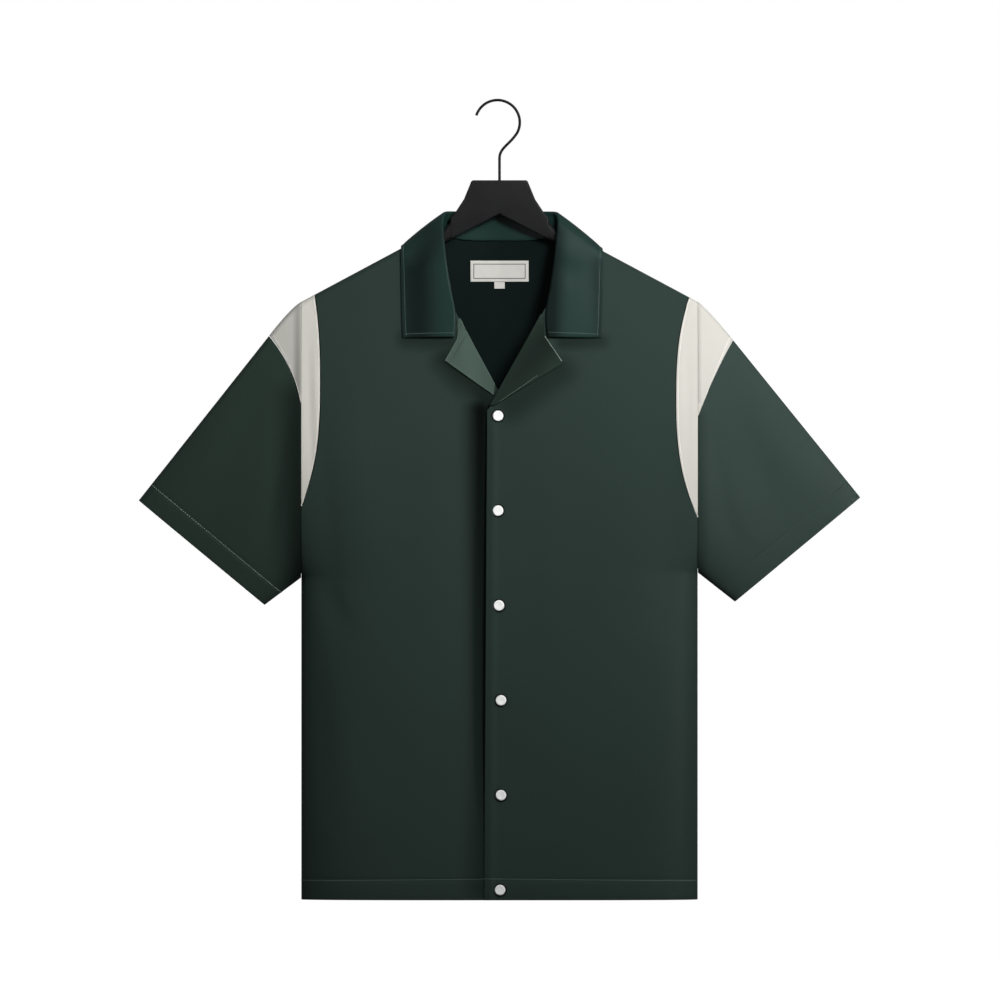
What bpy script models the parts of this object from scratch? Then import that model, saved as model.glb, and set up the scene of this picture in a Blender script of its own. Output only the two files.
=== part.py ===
"""A camp-collar snap-front shirt on its hanger, one solid for each piece that is cut and sewn.

Metres, +Z up. The front faces -Y and the wearer's right is at -X. The origin is where a rail or a wall
hook carries the hanger: the underside of the top of its wire hook.

Every panel lies on one form, the hollow that the empty shirt encloses. depth(x, z) gives half its
depth, front to back, and each panel is an open surface on it that Solidify gives its wall.
"""

import math
from collections import namedtuple

import bmesh
import bpy
from mathutils import Vector

MM = 0.001
WALL = 1.2 * MM  # cloth with its seam allowances
GAP = 0.3 * MM  # between two pieces at a seam
STUB = 0.8 * MM  # last strip of a panel, square to its seam so that the cut edges face each other

# The body: a flattened tube that hangs from the two shoulder folds.
SIDE_X = 218 * MM  # side seams and armholes, from the middle
HEM_Z = -877.8 * MM
SHOULDER_SLOPE = 0.535
SHOULDER_APEX_Z = -103.7 * MM  # where the two shoulder lines would meet over the neck
ARM_ROLL = 9.5 * MM  # radius of the cloth over the hanger's arm
BODY_DEPTH = 44 * MM  # half the depth, front to back, once the cloth hangs free
FLARE_LENGTH = 300 * MM  # below the arm, the drop in which the cloth reaches that depth
FLARE_POWER = 2.2
BODY_ROUNDING = 3.6  # how square the tube's section is
ARMHOLE_OPEN = 0.86  # the armhole's depth, as a share of the body's there
ARMHOLE_RISE = 200 * MM  # height over the underarm in which it opens
UNDERARM_EASE = 30 * MM  # the side seam's last stretch below the underarm, where it stands a little open

# The neck and the front opening.
BACK_NECK_Z = -153.5 * MM
BACK_NECK_SQUARENESS = 6
ROLL_RECESS = 1 * MM  # a front's edge stops this short of the fold that its lapel makes
UNDERLAP_START, UNDERLAP_END = 45 * MM, 18 * MM  # where the right front starts and ends its step inward
UNDERLAP_DEEP, UNDERLAP_FLAT = 4.6 * MM, 1.9 * MM  # that step beside the upper snaps, and at the hem
UNDERLAP_DEEP_Z = -660 * MM

# The sleeves.
CUFF_DEPTH = 14 * MM  # half the depth of the open cuff
CUFF_ROUNDING = 3
INSET_POWER = 2.6  # curve of the cream insets' long edges
INSET_TIP = 2.0 * MM  # width at which an inset's point is cut off

# Each side of the wearer. X is measured outward from the middle, so a minus is past it. A point is (x, z).
Side = namedtuple(
    "Side",
    "name sign underarm_z neck_x edge_hem_x edge_top roll_top neck_front_x "
    "inset_tip_z inset_width inset_widest inset_top_width "
    "cap_bend head_top head_bend head_tip_z cuff_top cuff_low",
)
RIGHT = Side(
    name="right",
    sign=-1,
    underarm_z=-523.6 * MM,
    neck_x=65.5 * MM,
    edge_hem_x=-15 * MM,
    edge_top=(-15 * MM, -346.5 * MM),
    roll_top=(48 * MM, -230.5 * MM),
    neck_front_x=50 * MM,
    inset_tip_z=-445.8 * MM,
    inset_width=21.1 * MM,
    inset_widest=0.57,
    inset_top_width=14.6 * MM,
    cap_bend=(228.8 * MM, -226.1 * MM),
    head_top=(253.7 * MM, -258.0 * MM),
    head_bend=(226.9 * MM, -290.1 * MM),
    head_tip_z=-332.3 * MM,
    cuff_top=(396.9 * MM, -438.9 * MM),
    cuff_low=(258.5 * MM, -553.9 * MM),
)
LEFT = Side(
    name="left",
    sign=1,
    underarm_z=-518.1 * MM,
    neck_x=68.5 * MM,
    edge_hem_x=-17 * MM,
    edge_top=(-13.8 * MM, -339.4 * MM),
    roll_top=(51 * MM, -224.4 * MM),
    neck_front_x=53 * MM,
    inset_tip_z=-458.2 * MM,
    inset_width=24.3 * MM,
    inset_widest=0.54,
    inset_top_width=9.5 * MM,
    cap_bend=(229.4 * MM, -228.8 * MM),
    head_top=(257.1 * MM, -262.7 * MM),
    head_bend=(240.1 * MM, -291.4 * MM),
    head_tip_z=-347.1 * MM,
    cuff_top=(396.9 * MM, -435.6 * MM),
    cuff_low=(259.1 * MM, -550.3 * MM),
)

# The collar, a strip folded over itself. Each station gives its neck seam, roll and outer edge. Where it
# says ON_FORM, the depth follows the body's form, or the seam's height follows the back's top edge.
COLLAR_WALL = 1.6 * MM
ROLL_RADIUS = 2.3 * MM
LEAF_BULGE = 1.2 * MM
Station = namedtuple("Station", "seam_x seam_z roll_x roll_y roll_z edge_x edge_z edge_y")
ON_FORM = None
COLLAR_RIGHT = (
    Station(55.4, -259.6, 49.6, ON_FORM, -259.4, 106.4, -260.2, ON_FORM),
    Station(54.2, -246.0, 48.4, ON_FORM, -246.0, 107.2, -248.0, ON_FORM),
    Station(54.2, -230.5, 48.4, ON_FORM, -230.5, 107.8, -234.0, ON_FORM),
    Station(58.2, -208.0, 53.0, ON_FORM, -208.0, 108.2, -214.0, ON_FORM),
    Station(62.0, -185.4, 56.8, ON_FORM, -185.4, 108.6, -197.0, ON_FORM),
    Station(64.6, -162.0, 60.0, -19.0, -158.0, 108.8, -181.0, ON_FORM),
    Station(65.4, -147.0, 61.6, -11.5, -137.0, 108.8, -171.4, -13.0),
    Station(65.0, -141.0, 60.8, -6.6, -129.0, 108.8, -162.7, -8.7),
    Station(63.4, -138.7, 59.5, -1.0, -123.6, 108.6, -159.0, 0.0),
    Station(61.6, ON_FORM, 57.4, 3.2, -121.9, 106.8, -161.2, 8.9),
    Station(57.6, ON_FORM, 53.0, 7.2, -121.2, 103.0, -168.5, 17.5),
    Station(48.0, ON_FORM, 43.0, 12.0, -121.0, 84.0, -181.0, 22.0),
    Station(29.0, ON_FORM, 26.0, 15.2, -121.4, 50.0, -188.0, 27.0),
)
COLLAR_BACK = Station(0.0, ON_FORM, 0.0, 16.6, -121.8, 0.0, -190.5, 29.8)
COLLAR_LEFT = (
    Station(58.4, -259.8, 52.6, ON_FORM, -259.6, 111.7, -260.2, ON_FORM),
    Station(56.8, -244.0, 51.0, ON_FORM, -244.0, 112.4, -248.0, ON_FORM),
    Station(57.4, -226.0, 51.6, ON_FORM, -226.0, 113.0, -232.0, ON_FORM),
    Station(61.0, -204.0, 55.6, ON_FORM, -204.0, 113.6, -213.0, ON_FORM),
    Station(64.6, -184.0, 58.8, ON_FORM, -182.0, 114.0, -197.0, ON_FORM),
    Station(67.4, -162.0, 61.4, -19.0, -158.0, 114.2, -182.0, ON_FORM),
    Station(68.3, -148.6, 63.4, -11.5, -137.6, 114.0, -174.2, -13.0),
    Station(68.0, -142.6, 63.4, -6.6, -129.6, 114.0, -165.5, -8.7),
    Station(66.4, -140.3, 62.0, -1.0, -123.8, 113.6, -161.7, 0.0),
    Station(64.6, ON_FORM, 60.0, 3.2, -122.1, 111.4, -163.5, 8.9),
    Station(60.2, ON_FORM, 55.4, 7.2, -121.4, 107.0, -170.6, 17.5),
    Station(50.0, ON_FORM, 45.0, 12.0, -121.0, 86.0, -182.0, 22.0),
    Station(30.0, ON_FORM, 27.0, 15.2, -121.4, 51.0, -188.0, 27.0),
)

# The lapels: the fold (lower end, upper end), then the free edge from the fold's lower end upward.
LAPEL_WALL = 1.8 * MM
LAPEL_CLEAR = 0.6 * MM
LAPEL_FOLD_LIFT = 1.2 * MM
Lapel = namedtuple("Lapel", "side fold_low fold_high low_corner tip notch gorge top")
LAPELS = (
    Lapel(
        side=RIGHT,
        fold_low=(5.2, -311.0),
        fold_high=(43.4, -238.8),
        low_corner=(6.4, -323.5),
        tip=(60.5, -285.5),
        notch=(47.4, -262.6),
        gorge=(46.4, -257.0),
        top=(46.4, -239.6),
    ),
    Lapel(
        side=LEFT,
        fold_low=(-11.0, -334.6),
        fold_high=(45.4, -234.3),
        low_corner=(-5.8, -335.0),
        tip=(71.8, -287.1),
        notch=(53.6, -263.0),
        gorge=(49.2, -257.0),
        top=(48.9, -235.4),
    ),
)

# Labels, inside the back.
LABEL_WALL = 1.0 * MM
LABEL_HALF_X, LABEL_TOP_Z, LABEL_LOW_Z = 32 * MM, -175 * MM, -198.1 * MM
TAB_HALF_X, TAB_LOW_Z = 5.7 * MM, -205.8 * MM

# Snap caps, down the left front's edge.
SNAP_RADIUS, SNAP_HEIGHT = 5.85 * MM, 2.4 * MM
SNAP_TOP_Z, SNAP_PITCH = -346 * MM, 104.1 * MM
SNAP_X = (-1.6 * MM, -1.6 * MM, -0.6 * MM, 1.6 * MM, 1.6 * MM, 0.6 * MM)

# The hanger.
BAR_THICK = 12 * MM
ARM_THICK = 11 * MM
ARM_END_X = 196 * MM
ARM_DROP = WALL / math.cos(math.atan(SHOULDER_SLOPE)) + 2 * GAP  # arm's top under the shoulder line
HEAD_TOP_Z = -86.7 * MM
HEAD_EDGE = ((30.6, -86.7), (35.2, -97.9), (39.1, -107.5), (48.6, -122.0), (54.0, -128.4))
UNDERSIDE_APEX_Z = -123.8 * MM
UNDERSIDE_SLOPE = 0.518
HOOK_WIRE = 1.5 * MM
HOOK_RADIUS = 24.5 * MM
HOOK_CENTRE = (-2.2 * MM, 1.5 * MM - 24.5 * MM)
HOOK_BORE_DEPTH = 12 * MM

GREEN = (0.026, 0.042, 0.036)
LIGHT_GREEN = (0.062, 0.092, 0.078)
CREAM = (0.60, 0.56, 0.50)
LABEL_WHITE = (0.56, 0.55, 0.52)
PEARL = (0.86, 0.88, 0.86)
BLACK = (0.016, 0.016, 0.017)


def clear_scene():
    for old in list(bpy.data.objects):
        bpy.data.objects.remove(old)


def new_collection(name, hidden=False):
    collection = bpy.data.collections.new(name)
    collection.hide_render = hidden
    bpy.context.scene.collection.children.link(collection)
    return collection


def material(name, colour, roughness, metallic=0.0):
    made = bpy.data.materials.new(name)
    made.use_nodes = True
    shader = made.node_tree.nodes["Principled BSDF"]
    shader.inputs["Base Color"].default_value = (*colour, 1)
    shader.inputs["Roughness"].default_value = roughness
    shader.inputs["Metallic"].default_value = metallic
    return made


def mix(a, b, t):
    return a + (b - a) * t


def mix_point(a, b, t):
    return (mix(a[0], b[0], t), mix(a[1], b[1], t))


def bend_point(start, bend, end, t):
    """A point on the curve that leaves start towards bend and arrives at end from it."""
    return mix_point(mix_point(start, bend, t), mix_point(bend, end, t), t)


def distance(a, b):
    return math.hypot(a[0] - b[0], a[1] - b[1])


def ease(t):
    t = min(1.0, max(0.0, t))
    return t * t * (3 - 2 * t)


def rounded_spread(count):
    """Shares from 0 to 1, close together at both ends, for a section that folds round there."""
    return [(1 - math.cos(math.pi * i / count)) / 2 for i in range(count + 1)]


# ---------------------------------------------------------------- the form


def shoulder_z(x):
    return SHOULDER_APEX_Z - SHOULDER_SLOPE * abs(x)


def fall(below):
    """Half the depth at a distance below the shoulder fold: round the hanger's arm, then flaring out."""
    if below <= 0:
        return 0.0
    if below < ARM_ROLL:
        return math.sqrt(ARM_ROLL**2 - (ARM_ROLL - below) ** 2)
    free = min(1.0, (below - ARM_ROLL) / FLARE_LENGTH)
    return ARM_ROLL + (BODY_DEPTH - ARM_ROLL) * (1 - (1 - free) ** FLARE_POWER)


def armhole_share(side, z):
    """The armhole's depth as a share of the body's: 0 at the underarm and below."""
    rise = min(1.0, (z - side.underarm_z) / ARMHOLE_RISE)
    return ARMHOLE_OPEN * math.sqrt(1 - (1 - rise) ** 2) if rise > 0 else 0.0


def depth(x, z):
    """Half the depth of the body's form at x, z."""
    side = RIGHT if x < 0 else LEFT
    turned = (abs(x) / SIDE_X) ** BODY_ROUNDING * (1 - armhole_share(side, z) ** 2)
    return fall(shoulder_z(x) - z) * math.sqrt(max(0.0, 1 - turned))


def underlap(x, z):
    """How far the right front steps in to pass under the left one. x is measured outward."""
    deep = mix(UNDERLAP_FLAT, UNDERLAP_DEEP, ease((z - HEM_Z) / (UNDERLAP_DEEP_Z - HEM_Z)))
    return deep * ease((UNDERLAP_START - x) / (UNDERLAP_START - UNDERLAP_END))


def front_point(side, x, z, out=0.0):
    """A point of a front's outer face at x, measured outward, moved out of the cloth by out."""
    step = underlap(x, z) if side is RIGHT else 0.0
    return Vector((side.sign * x, -(depth(side.sign * x, z) + GAP / 2 - step + out), z))


# ---------------------------------------------------------------- cloth


def surface_mesh(name, rows, flip=False, closed=False):
    """A grid of quads through rows of points; closed joins the last row to the first."""
    shape = bmesh.new()
    made = [[shape.verts.new(point) for point in row] for row in rows]
    pairs = list(zip(made, made[1:])) + ([(made[-1], made[0])] if closed else [])
    for low, high in pairs:
        for i in range(len(low) - 1):
            corners = (low[i], low[i + 1], high[i + 1], high[i])
            shape.faces.new(corners[::-1] if flip else corners)
    mesh = bpy.data.meshes.new(name)
    shape.to_mesh(mesh)
    shape.free()
    return mesh


def add_object(name, mesh, finish, collection):
    made = bpy.data.objects.new(name, mesh)
    mesh.materials.append(finish)
    collection.objects.link(made)
    return made


def add_cloth(name, rows, finish, collection, wall=WALL, flip=False, closed=False):
    """A piece of cloth: rows are on its outer face, and the wall grows inward."""
    piece = add_object(name, surface_mesh(name, rows, flip, closed), finish, collection)
    piece.data.shade_smooth()
    thicken = piece.modifiers.new("wall", "SOLIDIFY")
    thicken.thickness = wall
    thicken.offset = -1
    thicken.use_even_offset = True
    return piece


def roll_drops():
    """Heights below the shoulder line of the rows that go round the hanger's arm, lowest first."""
    return [ARM_ROLL * (1 - math.cos(math.radians(angle))) for angle in (90, 62, 34, 5, 0)]


def inset_top_z(side):
    return shoulder_z(SIDE_X - side.inset_top_width)


def inset_share(side, z):
    """Height along the cream inset beside the armhole: 0 at its point, 1 at the shoulder."""
    return (z - side.inset_tip_z) / (inset_top_z(side) - side.inset_tip_z)


def inset_width(side, z):
    along = inset_share(side, z)
    widest = side.inset_widest
    if along < widest:
        return side.inset_width * (1 - ((widest - along) / widest) ** INSET_POWER)
    reach = (1 - widest) / (1 - side.inset_top_width / side.inset_width) ** (1 / INSET_POWER)
    return side.inset_width * (1 - ((along - widest) / reach) ** INSET_POWER)


def inset_cut_z(side):
    """The height at which the inset is INSET_TIP wide, where its point is cut off."""
    share = side.inset_widest * (1 - (1 - INSET_TIP / side.inset_width) ** (1 / INSET_POWER))
    return mix(side.inset_tip_z, inset_top_z(side), share)


def edge_x(side, z):
    """A front's inner edge: the snap edge, then the lapel's fold, then the neck seam."""
    low_x, low_z = side.edge_top
    high_x, high_z = side.roll_top
    if z <= low_z:
        return mix(side.edge_hem_x, low_x, (z - HEM_Z) / (low_z - HEM_Z))
    if z <= high_z:
        return mix(low_x, high_x, (z - low_z) / (high_z - low_z)) + ROLL_RECESS
    up = (z - high_z) / (shoulder_z(side.neck_x) - high_z)
    return mix(side.neck_front_x, side.neck_x, math.sin(math.pi / 2 * up))


def side_ends(side, z):
    """The last two points of a panel's row, as (x, depth): square to the side seam or to the armhole."""
    if z < side.underarm_z:
        eased = GAP * ease(1 - (side.underarm_z - z) / UNDERARM_EASE)
        return ((SIDE_X, STUB + eased), (SIDE_X, eased))
    open_depth = depth(side.sign * SIDE_X, z)
    return ((SIDE_X - GAP / 2 - STUB, open_depth), (SIDE_X - GAP / 2, open_depth))


def column_reach(side, z):
    """How far out a row's columns go: to the side fold, or short of the last strip beside an armhole."""
    return SIDE_X if z < side.underarm_z else SIDE_X - GAP / 2 - 2 * STUB


FRONT_COLUMNS = (0.0, 0.07, 0.13, 0.18, 0.23, 0.3, 0.42, 0.6, 0.77, 0.9, 0.97)
SPREAD_CHANGE = 120 * MM  # above the underarm, where the columns' spread turns from close at the fold to even
FRONT_SHARES = (0.0, 0.16, 0.32, 0.44, 0.5)  # rows between the hem and the underarm
UPPER_SHARES = (0.56, 0.6)  # between the underarm and the inset's point
CHEST_SHARES = (0.68, 0.705, 0.76, 0.8, 0.84, 0.91, 0.945, 0.97)


def front_levels(side):
    """A front's rows, hem first: the height at each edge, and the drop below the shoulder of a rolled row."""
    top_in, top_out = shoulder_z(side.neck_x), inset_top_z(side)

    def outer_share(z):
        return (z - HEM_Z) / (top_out - HEM_Z)

    def inner_share(z):
        return (z - HEM_Z) / (top_in - HEM_Z)

    underarm = outer_share(side.underarm_z)
    cut = outer_share(inset_cut_z(side))
    shares = list(FRONT_SHARES + UPPER_SHARES + CHEST_SHARES)
    shares += [underarm - 0.002, underarm + 0.002, cut - 0.0025, cut + 0.0005, cut + 0.01]
    shares += [inner_share(side.edge_top[1]), inner_share(side.roll_top[1])]
    levels = [(mix(HEM_Z, top_in, share), mix(HEM_Z, top_out, share), None) for share in sorted(shares)]
    return levels + [(top_in - drop, top_out - drop, drop) for drop in roll_drops()]


def front_rows(side):
    rows = []
    for inner_z, outer_z, drop in front_levels(side):
        inner = edge_x(side, inner_z)
        beside_inset = outer_z >= inset_cut_z(side)
        outer = column_reach(side, outer_z)
        if beside_inset:
            outer = SIDE_X - inset_width(side, outer_z) - GAP / 2
        opened = ease((outer_z - side.underarm_z) / SPREAD_CHANGE)
        spread = [mix(math.sin(math.pi / 2 * share), share, opened) for share in FRONT_COLUMNS]
        row = []
        for across in spread + ([0.99, 1.0] if beside_inset else []):
            x = mix(inner, outer, across)
            z = mix(inner_z, outer_z, across) if drop is None else shoulder_z(x) - drop
            row.append(front_point(side, x, z))
        if not beside_inset:
            for x, half in side_ends(side, outer_z):
                row.append(Vector((side.sign * x, -(half + GAP / 2), outer_z)))
        rows.append(row)
    return rows


def inset_front_rows(side):
    """The cream inset between a front and its armhole, from its cut point up to the shoulder seam."""
    low, high = inset_cut_z(side) + 7 * GAP, inset_top_z(side)
    shares = (0.0, 0.05, 0.12, 0.22, 0.36, 0.52, 0.68, 0.82, 0.92)
    levels = [(mix(low, high, s), mix(low, shoulder_z(SIDE_X), s), None) for s in shares]
    levels += [(high - drop, shoulder_z(SIDE_X) - drop, drop) for drop in roll_drops()]
    rows = []
    for inner_z, outer_z, drop in levels:
        inner = SIDE_X - inset_width(side, inner_z) + GAP
        row = []
        for share in (0.0, 0.34, 0.68):
            x = mix(inner, SIDE_X - GAP / 2 - STUB, share)
            z = mix(inner_z, outer_z, share) if drop is None else shoulder_z(x) - drop
            row.append(front_point(side, x, z))
        for x, half in side_ends(side, outer_z):
            row.append(Vector((side.sign * x, -(half + GAP / 2), outer_z)))
        rows.append(row)
    return rows


def back_top_z(x):
    """The back's top edge: the shoulder seams, and the neck seam's shallow dip between them."""
    neck_x = RIGHT.neck_x if x < 0 else LEFT.neck_x
    if abs(x) >= neck_x:
        return shoulder_z(x)
    return mix(BACK_NECK_Z, shoulder_z(neck_x), (abs(x) / neck_x) ** BACK_NECK_SQUARENESS)


BACK_COLUMNS = (0.14, 0.42, 0.56, 0.7, 0.82, 0.91, 0.97, 0.998)
NECK_COLUMNS = (0.8, 0.9, 0.96, 0.985, 1.0)


def back_rows():
    """Rows from the hem up. A row above the free cloth keeps its drop below the top edge all along."""
    shares = [0.0, 0.18, 0.36, 0.47, 0.6, 0.68, 0.76, 0.83, 0.88, 0.925, 0.965]
    for side in (RIGHT, LEFT):
        underarm = (side.underarm_z - HEM_Z) / (shoulder_z(SIDE_X) - HEM_Z)
        shares += [underarm - 0.002, underarm + 0.002]

    def back_point(x, share, drop):
        top = back_top_z(x)
        z = mix(HEM_Z, top, share) if drop is None else top - drop
        return Vector((x, depth(x, z) + GAP / 2, z))

    rows = []
    for share, drop in [(share, None) for share in sorted(shares)] + [(None, drop) for drop in roll_drops()]:
        halves = []
        for side in (RIGHT, LEFT):
            end_z = back_point(side.sign * SIDE_X, share, drop).z
            reach = column_reach(side, end_z)
            columns = [part * reach for part in BACK_COLUMNS] + [part * side.neck_x for part in NECK_COLUMNS]
            half = [back_point(side.sign * x, share, drop) for x in sorted(columns)]
            for x, half_depth in side_ends(side, end_z):
                half.append(Vector((side.sign * x, half_depth + GAP / 2, end_z)))
            halves.append(half)
        rows.append(halves[0][::-1] + [back_point(0.0, share, drop)] + halves[1])
    return rows


# ---------------------------------------------------------------- sleeves


def head_tip_share(side):
    """How far down the armhole the sleeve-head inset's point is."""
    top = shoulder_z(SIDE_X)
    return (side.head_tip_z - top) / (side.underarm_z - top)


def head_cut_share(side):
    """Where that inset is INSET_TIP wide and its point is cut off."""
    slant = 2 * (side.head_bend[0] - SIDE_X)
    return head_tip_share(side) * (1 - INSET_TIP / slant)


def head_point(side, down):
    """A point on the inset's lower edge, which curves from the top of the sleeve to the armhole."""
    tip = (SIDE_X, side.head_tip_z)
    return bend_point(side.head_top, side.head_bend, tip, down / head_tip_share(side))


def ring_z(side, down):
    """Height on the armhole: level with that edge where the inset's point is cut off."""
    cut = head_cut_share(side)
    cut_z = head_point(side, cut)[1]
    if down < cut:
        return mix(shoulder_z(SIDE_X), cut_z, down / cut)
    return mix(cut_z, side.underarm_z, (down - cut) / (1 - cut))


def sleeve_line(side, down):
    """One line along the sleeve in the front view, at a share down the armhole: ring, bend, head, cuff."""
    ring = (SIDE_X, ring_z(side, down))
    cuff = mix_point(side.cuff_top, side.cuff_low, down)
    if down >= head_cut_share(side):
        return ring, ring, ring, cuff
    head = head_point(side, down)
    straight = mix_point(ring, head, 0.5)
    top_ring = (SIDE_X, shoulder_z(SIDE_X))
    top_straight = mix_point(top_ring, side.head_top, 0.5)
    fade = (1 - down / head_tip_share(side)) ** 2
    bend = tuple(straight[i] + fade * (side.cap_bend[i] - top_straight[i]) for i in (0, 1))
    return ring, bend, head, cuff


def sleeve_depth(side, down, out):
    """Half the sleeve's depth, at shares down the armhole and out along the sleeve."""
    at_body = depth(side.sign * SIDE_X, ring_z(side, down))
    at_cuff = CUFF_DEPTH * math.sqrt(max(0.0, 1 - abs(2 * down - 1) ** CUFF_ROUNDING))
    return mix(at_body, at_cuff, out)


def round_sleeve(side, shares, closed):
    """(share down, facing) all round: the front upward, the fold at the top, then the back downward."""
    front = [(down, -1) for down in reversed(shares)]
    back = [(down, 1) for down in shares[1:]]
    return front + (back[:-1] if closed else back)


def sleeve_rows(side):
    cut = head_cut_share(side)
    spread = [share for share in rounded_spread(10) if abs(share - cut) > 0.03]
    shares = sorted(spread + [cut - 0.0012, cut + 0.0012, 0.5 * cut])
    rows = []
    for down, facing in round_sleeve(side, shares, closed=True):
        ring, bend, head, cuff = sleeve_line(side, down)
        to_head, to_cuff = distance(ring, head), distance(head, cuff)
        steps = [GAP / 2 / to_cuff, (GAP / 2 + STUB) / to_cuff, 0.12, 0.3, 0.5, 0.72, 0.9, 1.0]
        row = []
        for step in steps:
            x, z = mix_point(head, cuff, step)
            if head == ring and step in steps[:2]:
                x, z = SIDE_X + step * to_cuff, ring[1]
            half = sleeve_depth(side, down, (to_head + step * to_cuff) / (to_head + to_cuff))
            row.append(Vector((side.sign * x, facing * half, z)))
        rows.append(row)
    return rows


def inset_sleeve_rows(side):
    cut = head_cut_share(side)
    shares = [cut * share for share in (0.0, 0.012, 0.06, 0.16, 0.32, 0.52, 0.72, 0.88)] + [cut - 0.0012]
    rows = []
    for down, facing in round_sleeve(side, shares, closed=False):
        ring, bend, head, cuff = sleeve_line(side, down)
        to_head, to_cuff = distance(ring, head), distance(head, cuff)
        first = GAP / 2 / to_head
        steps = [first, (GAP / 2 + STUB) / to_head, 0.3, 0.55, 0.8, 1 - first]
        if down > 0.9 * cut:
            steps[1] = 0.2
        row = []
        for step in steps:
            x, z = bend_point(ring, bend, head, step)
            if step == steps[1]:
                z = row[0].z
            half = sleeve_depth(side, down, step * to_head / (to_head + to_cuff))
            row.append(Vector((side.sign * x, facing * half, z)))
        rows.append(row)
    return rows


# ---------------------------------------------------------------- collar and lapels


def collar_stations():
    """(seam, roll, edge) in space, from the right notch round the back of the neck to the left one."""
    right = [(station, -1) for station in COLLAR_RIGHT]
    left = [(station, 1) for station in reversed(COLLAR_LEFT)]
    placed = []
    for station, sign in right + [(COLLAR_BACK, 1)] + left:
        seam_x, roll_x, outer_x = (sign * x * MM for x in (station.seam_x, station.roll_x, station.edge_x))
        roll_z, outer_z = station.roll_z * MM, station.edge_z * MM
        if station.seam_z is ON_FORM:
            seam_z = back_top_z(seam_x)
            seam_y = depth(seam_x, seam_z) - WALL - COLLAR_WALL - 1.5 * GAP
        else:
            seam_z = station.seam_z * MM
            seam_y = -(depth(seam_x, seam_z) + 2.5 * GAP) if station.edge_y != 0.0 else 0.0
        roll_y, outer_y = station.roll_y, station.edge_y
        roll_y = -(depth(roll_x, roll_z) + 3 * GAP + ROLL_RADIUS) if roll_y is ON_FORM else roll_y * MM
        outer_y = -(depth(outer_x, outer_z) + 3 * GAP + COLLAR_WALL) if outer_y is ON_FORM else outer_y * MM
        placed.append((
            Vector((seam_x, seam_y, seam_z)),
            Vector((roll_x, roll_y, roll_z)),
            Vector((outer_x, outer_y, outer_z)),
        ))
    return placed


def collar_rows():
    """Sections across the collar: up the stand, round the roll and down the fall."""
    placed = collar_stations()
    rows = []
    for i, (seam, roll, edge) in enumerate(placed):
        before, after = placed[max(0, i - 1)][1], placed[min(len(placed) - 1, i + 1)][1]
        down = (edge - roll).normalized()
        outward = (after - before).cross(down).normalized()
        centre = roll + down * ROLL_RADIUS
        turn = []
        for angle in (0, 45, 90, 135, 180):
            a = math.radians(angle)
            turn.append(centre - (down * math.sin(a) + outward * math.cos(a)) * ROLL_RADIUS)
        stand = seam + (turn[0] - seam).normalized() * 2 * GAP
        row = [stand, stand.lerp(turn[0], 0.5)] + turn
        for share in (0.3, 0.6, 0.85, 1.0):
            bulge = LEAF_BULGE * 4 * share * (1 - share)
            row.append(turn[-1].lerp(edge, share) + outward * bulge)
        rows.append(row)
    return rows


def lapel_rows(lapel):
    """From the lower end of the fold upward; each row runs from the fold to the free edge."""
    fold = [(0.0, lapel.fold_low), (1.0, lapel.fold_high)]
    corners = (lapel.low_corner, lapel.tip, lapel.notch, lapel.gorge, lapel.top)
    free = list(zip((0.0, 0.58, 0.8, 0.86, 1.0), corners))

    def at(path, share):
        for (low, start), (high, end) in zip(path, path[1:]):
            if share <= high:
                return mix_point(start, end, (share - low) / (high - low))
        return path[-1][1]

    rows = []
    for share in (0.0, 0.2, 0.4, 0.58, 0.69, 0.8, 0.86, 0.93, 1.0):
        start, end = at(fold, share), at(free, share)
        row = []
        for across in (0.0, 0.12, 0.4, 0.7, 1.0):
            x, z = mix_point(start, end, across)
            lift = LAPEL_CLEAR + LAPEL_WALL + LAPEL_FOLD_LIFT * (1 - across) ** 2
            row.append(front_point(lapel.side, x * MM, z * MM, out=lift))
        rows.append(row)
    return rows


# ---------------------------------------------------------------- labels and snaps


def back_inside_rows(half_x, low_z, high_z, columns, out):
    """A patch on the inner face of the back, moved off it by out."""
    rows = []
    for z in (low_z, mix(low_z, high_z, 0.5), high_z):
        xs = [mix(-half_x, half_x, i / columns) for i in range(columns + 1)]
        rows.append([Vector((x, depth(x, z) + GAP / 2 - WALL - out, z)) for x in xs])
    return rows


def add_snaps(finish, collection):
    """Domed caps, turned about Y, each just clear of the cloth that it is pressed through."""
    profile = ((0.0, 1.0), (0.5, 0.95), (0.84, 0.72), (1.0, 0.36), (0.94, 0.0), (0.0, 0.0))
    mesh = bpy.data.meshes.new("snap")
    points = [(radius * SNAP_RADIUS, 0, height * SNAP_HEIGHT) for radius, height in profile]
    mesh.from_pydata(points, [(i, i + 1) for i in range(len(points) - 1)], [])
    for i, x in enumerate(SNAP_X):
        z = SNAP_TOP_Z - i * SNAP_PITCH
        snap = bpy.data.objects.new(f"snap_{i + 1}", mesh)
        snap.location = (x, -(depth(x, z) + 1.8 * GAP), z)
        snap.rotation_euler = (math.pi / 2, 0, 0)
        turn = snap.modifiers.new("turn", "SCREW")
        turn.steps = turn.render_steps = 14
        turn.use_merge_vertices = True
        turn.merge_threshold = 0.00001
        collection.objects.link(snap)
    mesh.materials.append(finish)


# ---------------------------------------------------------------- hanger


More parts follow.
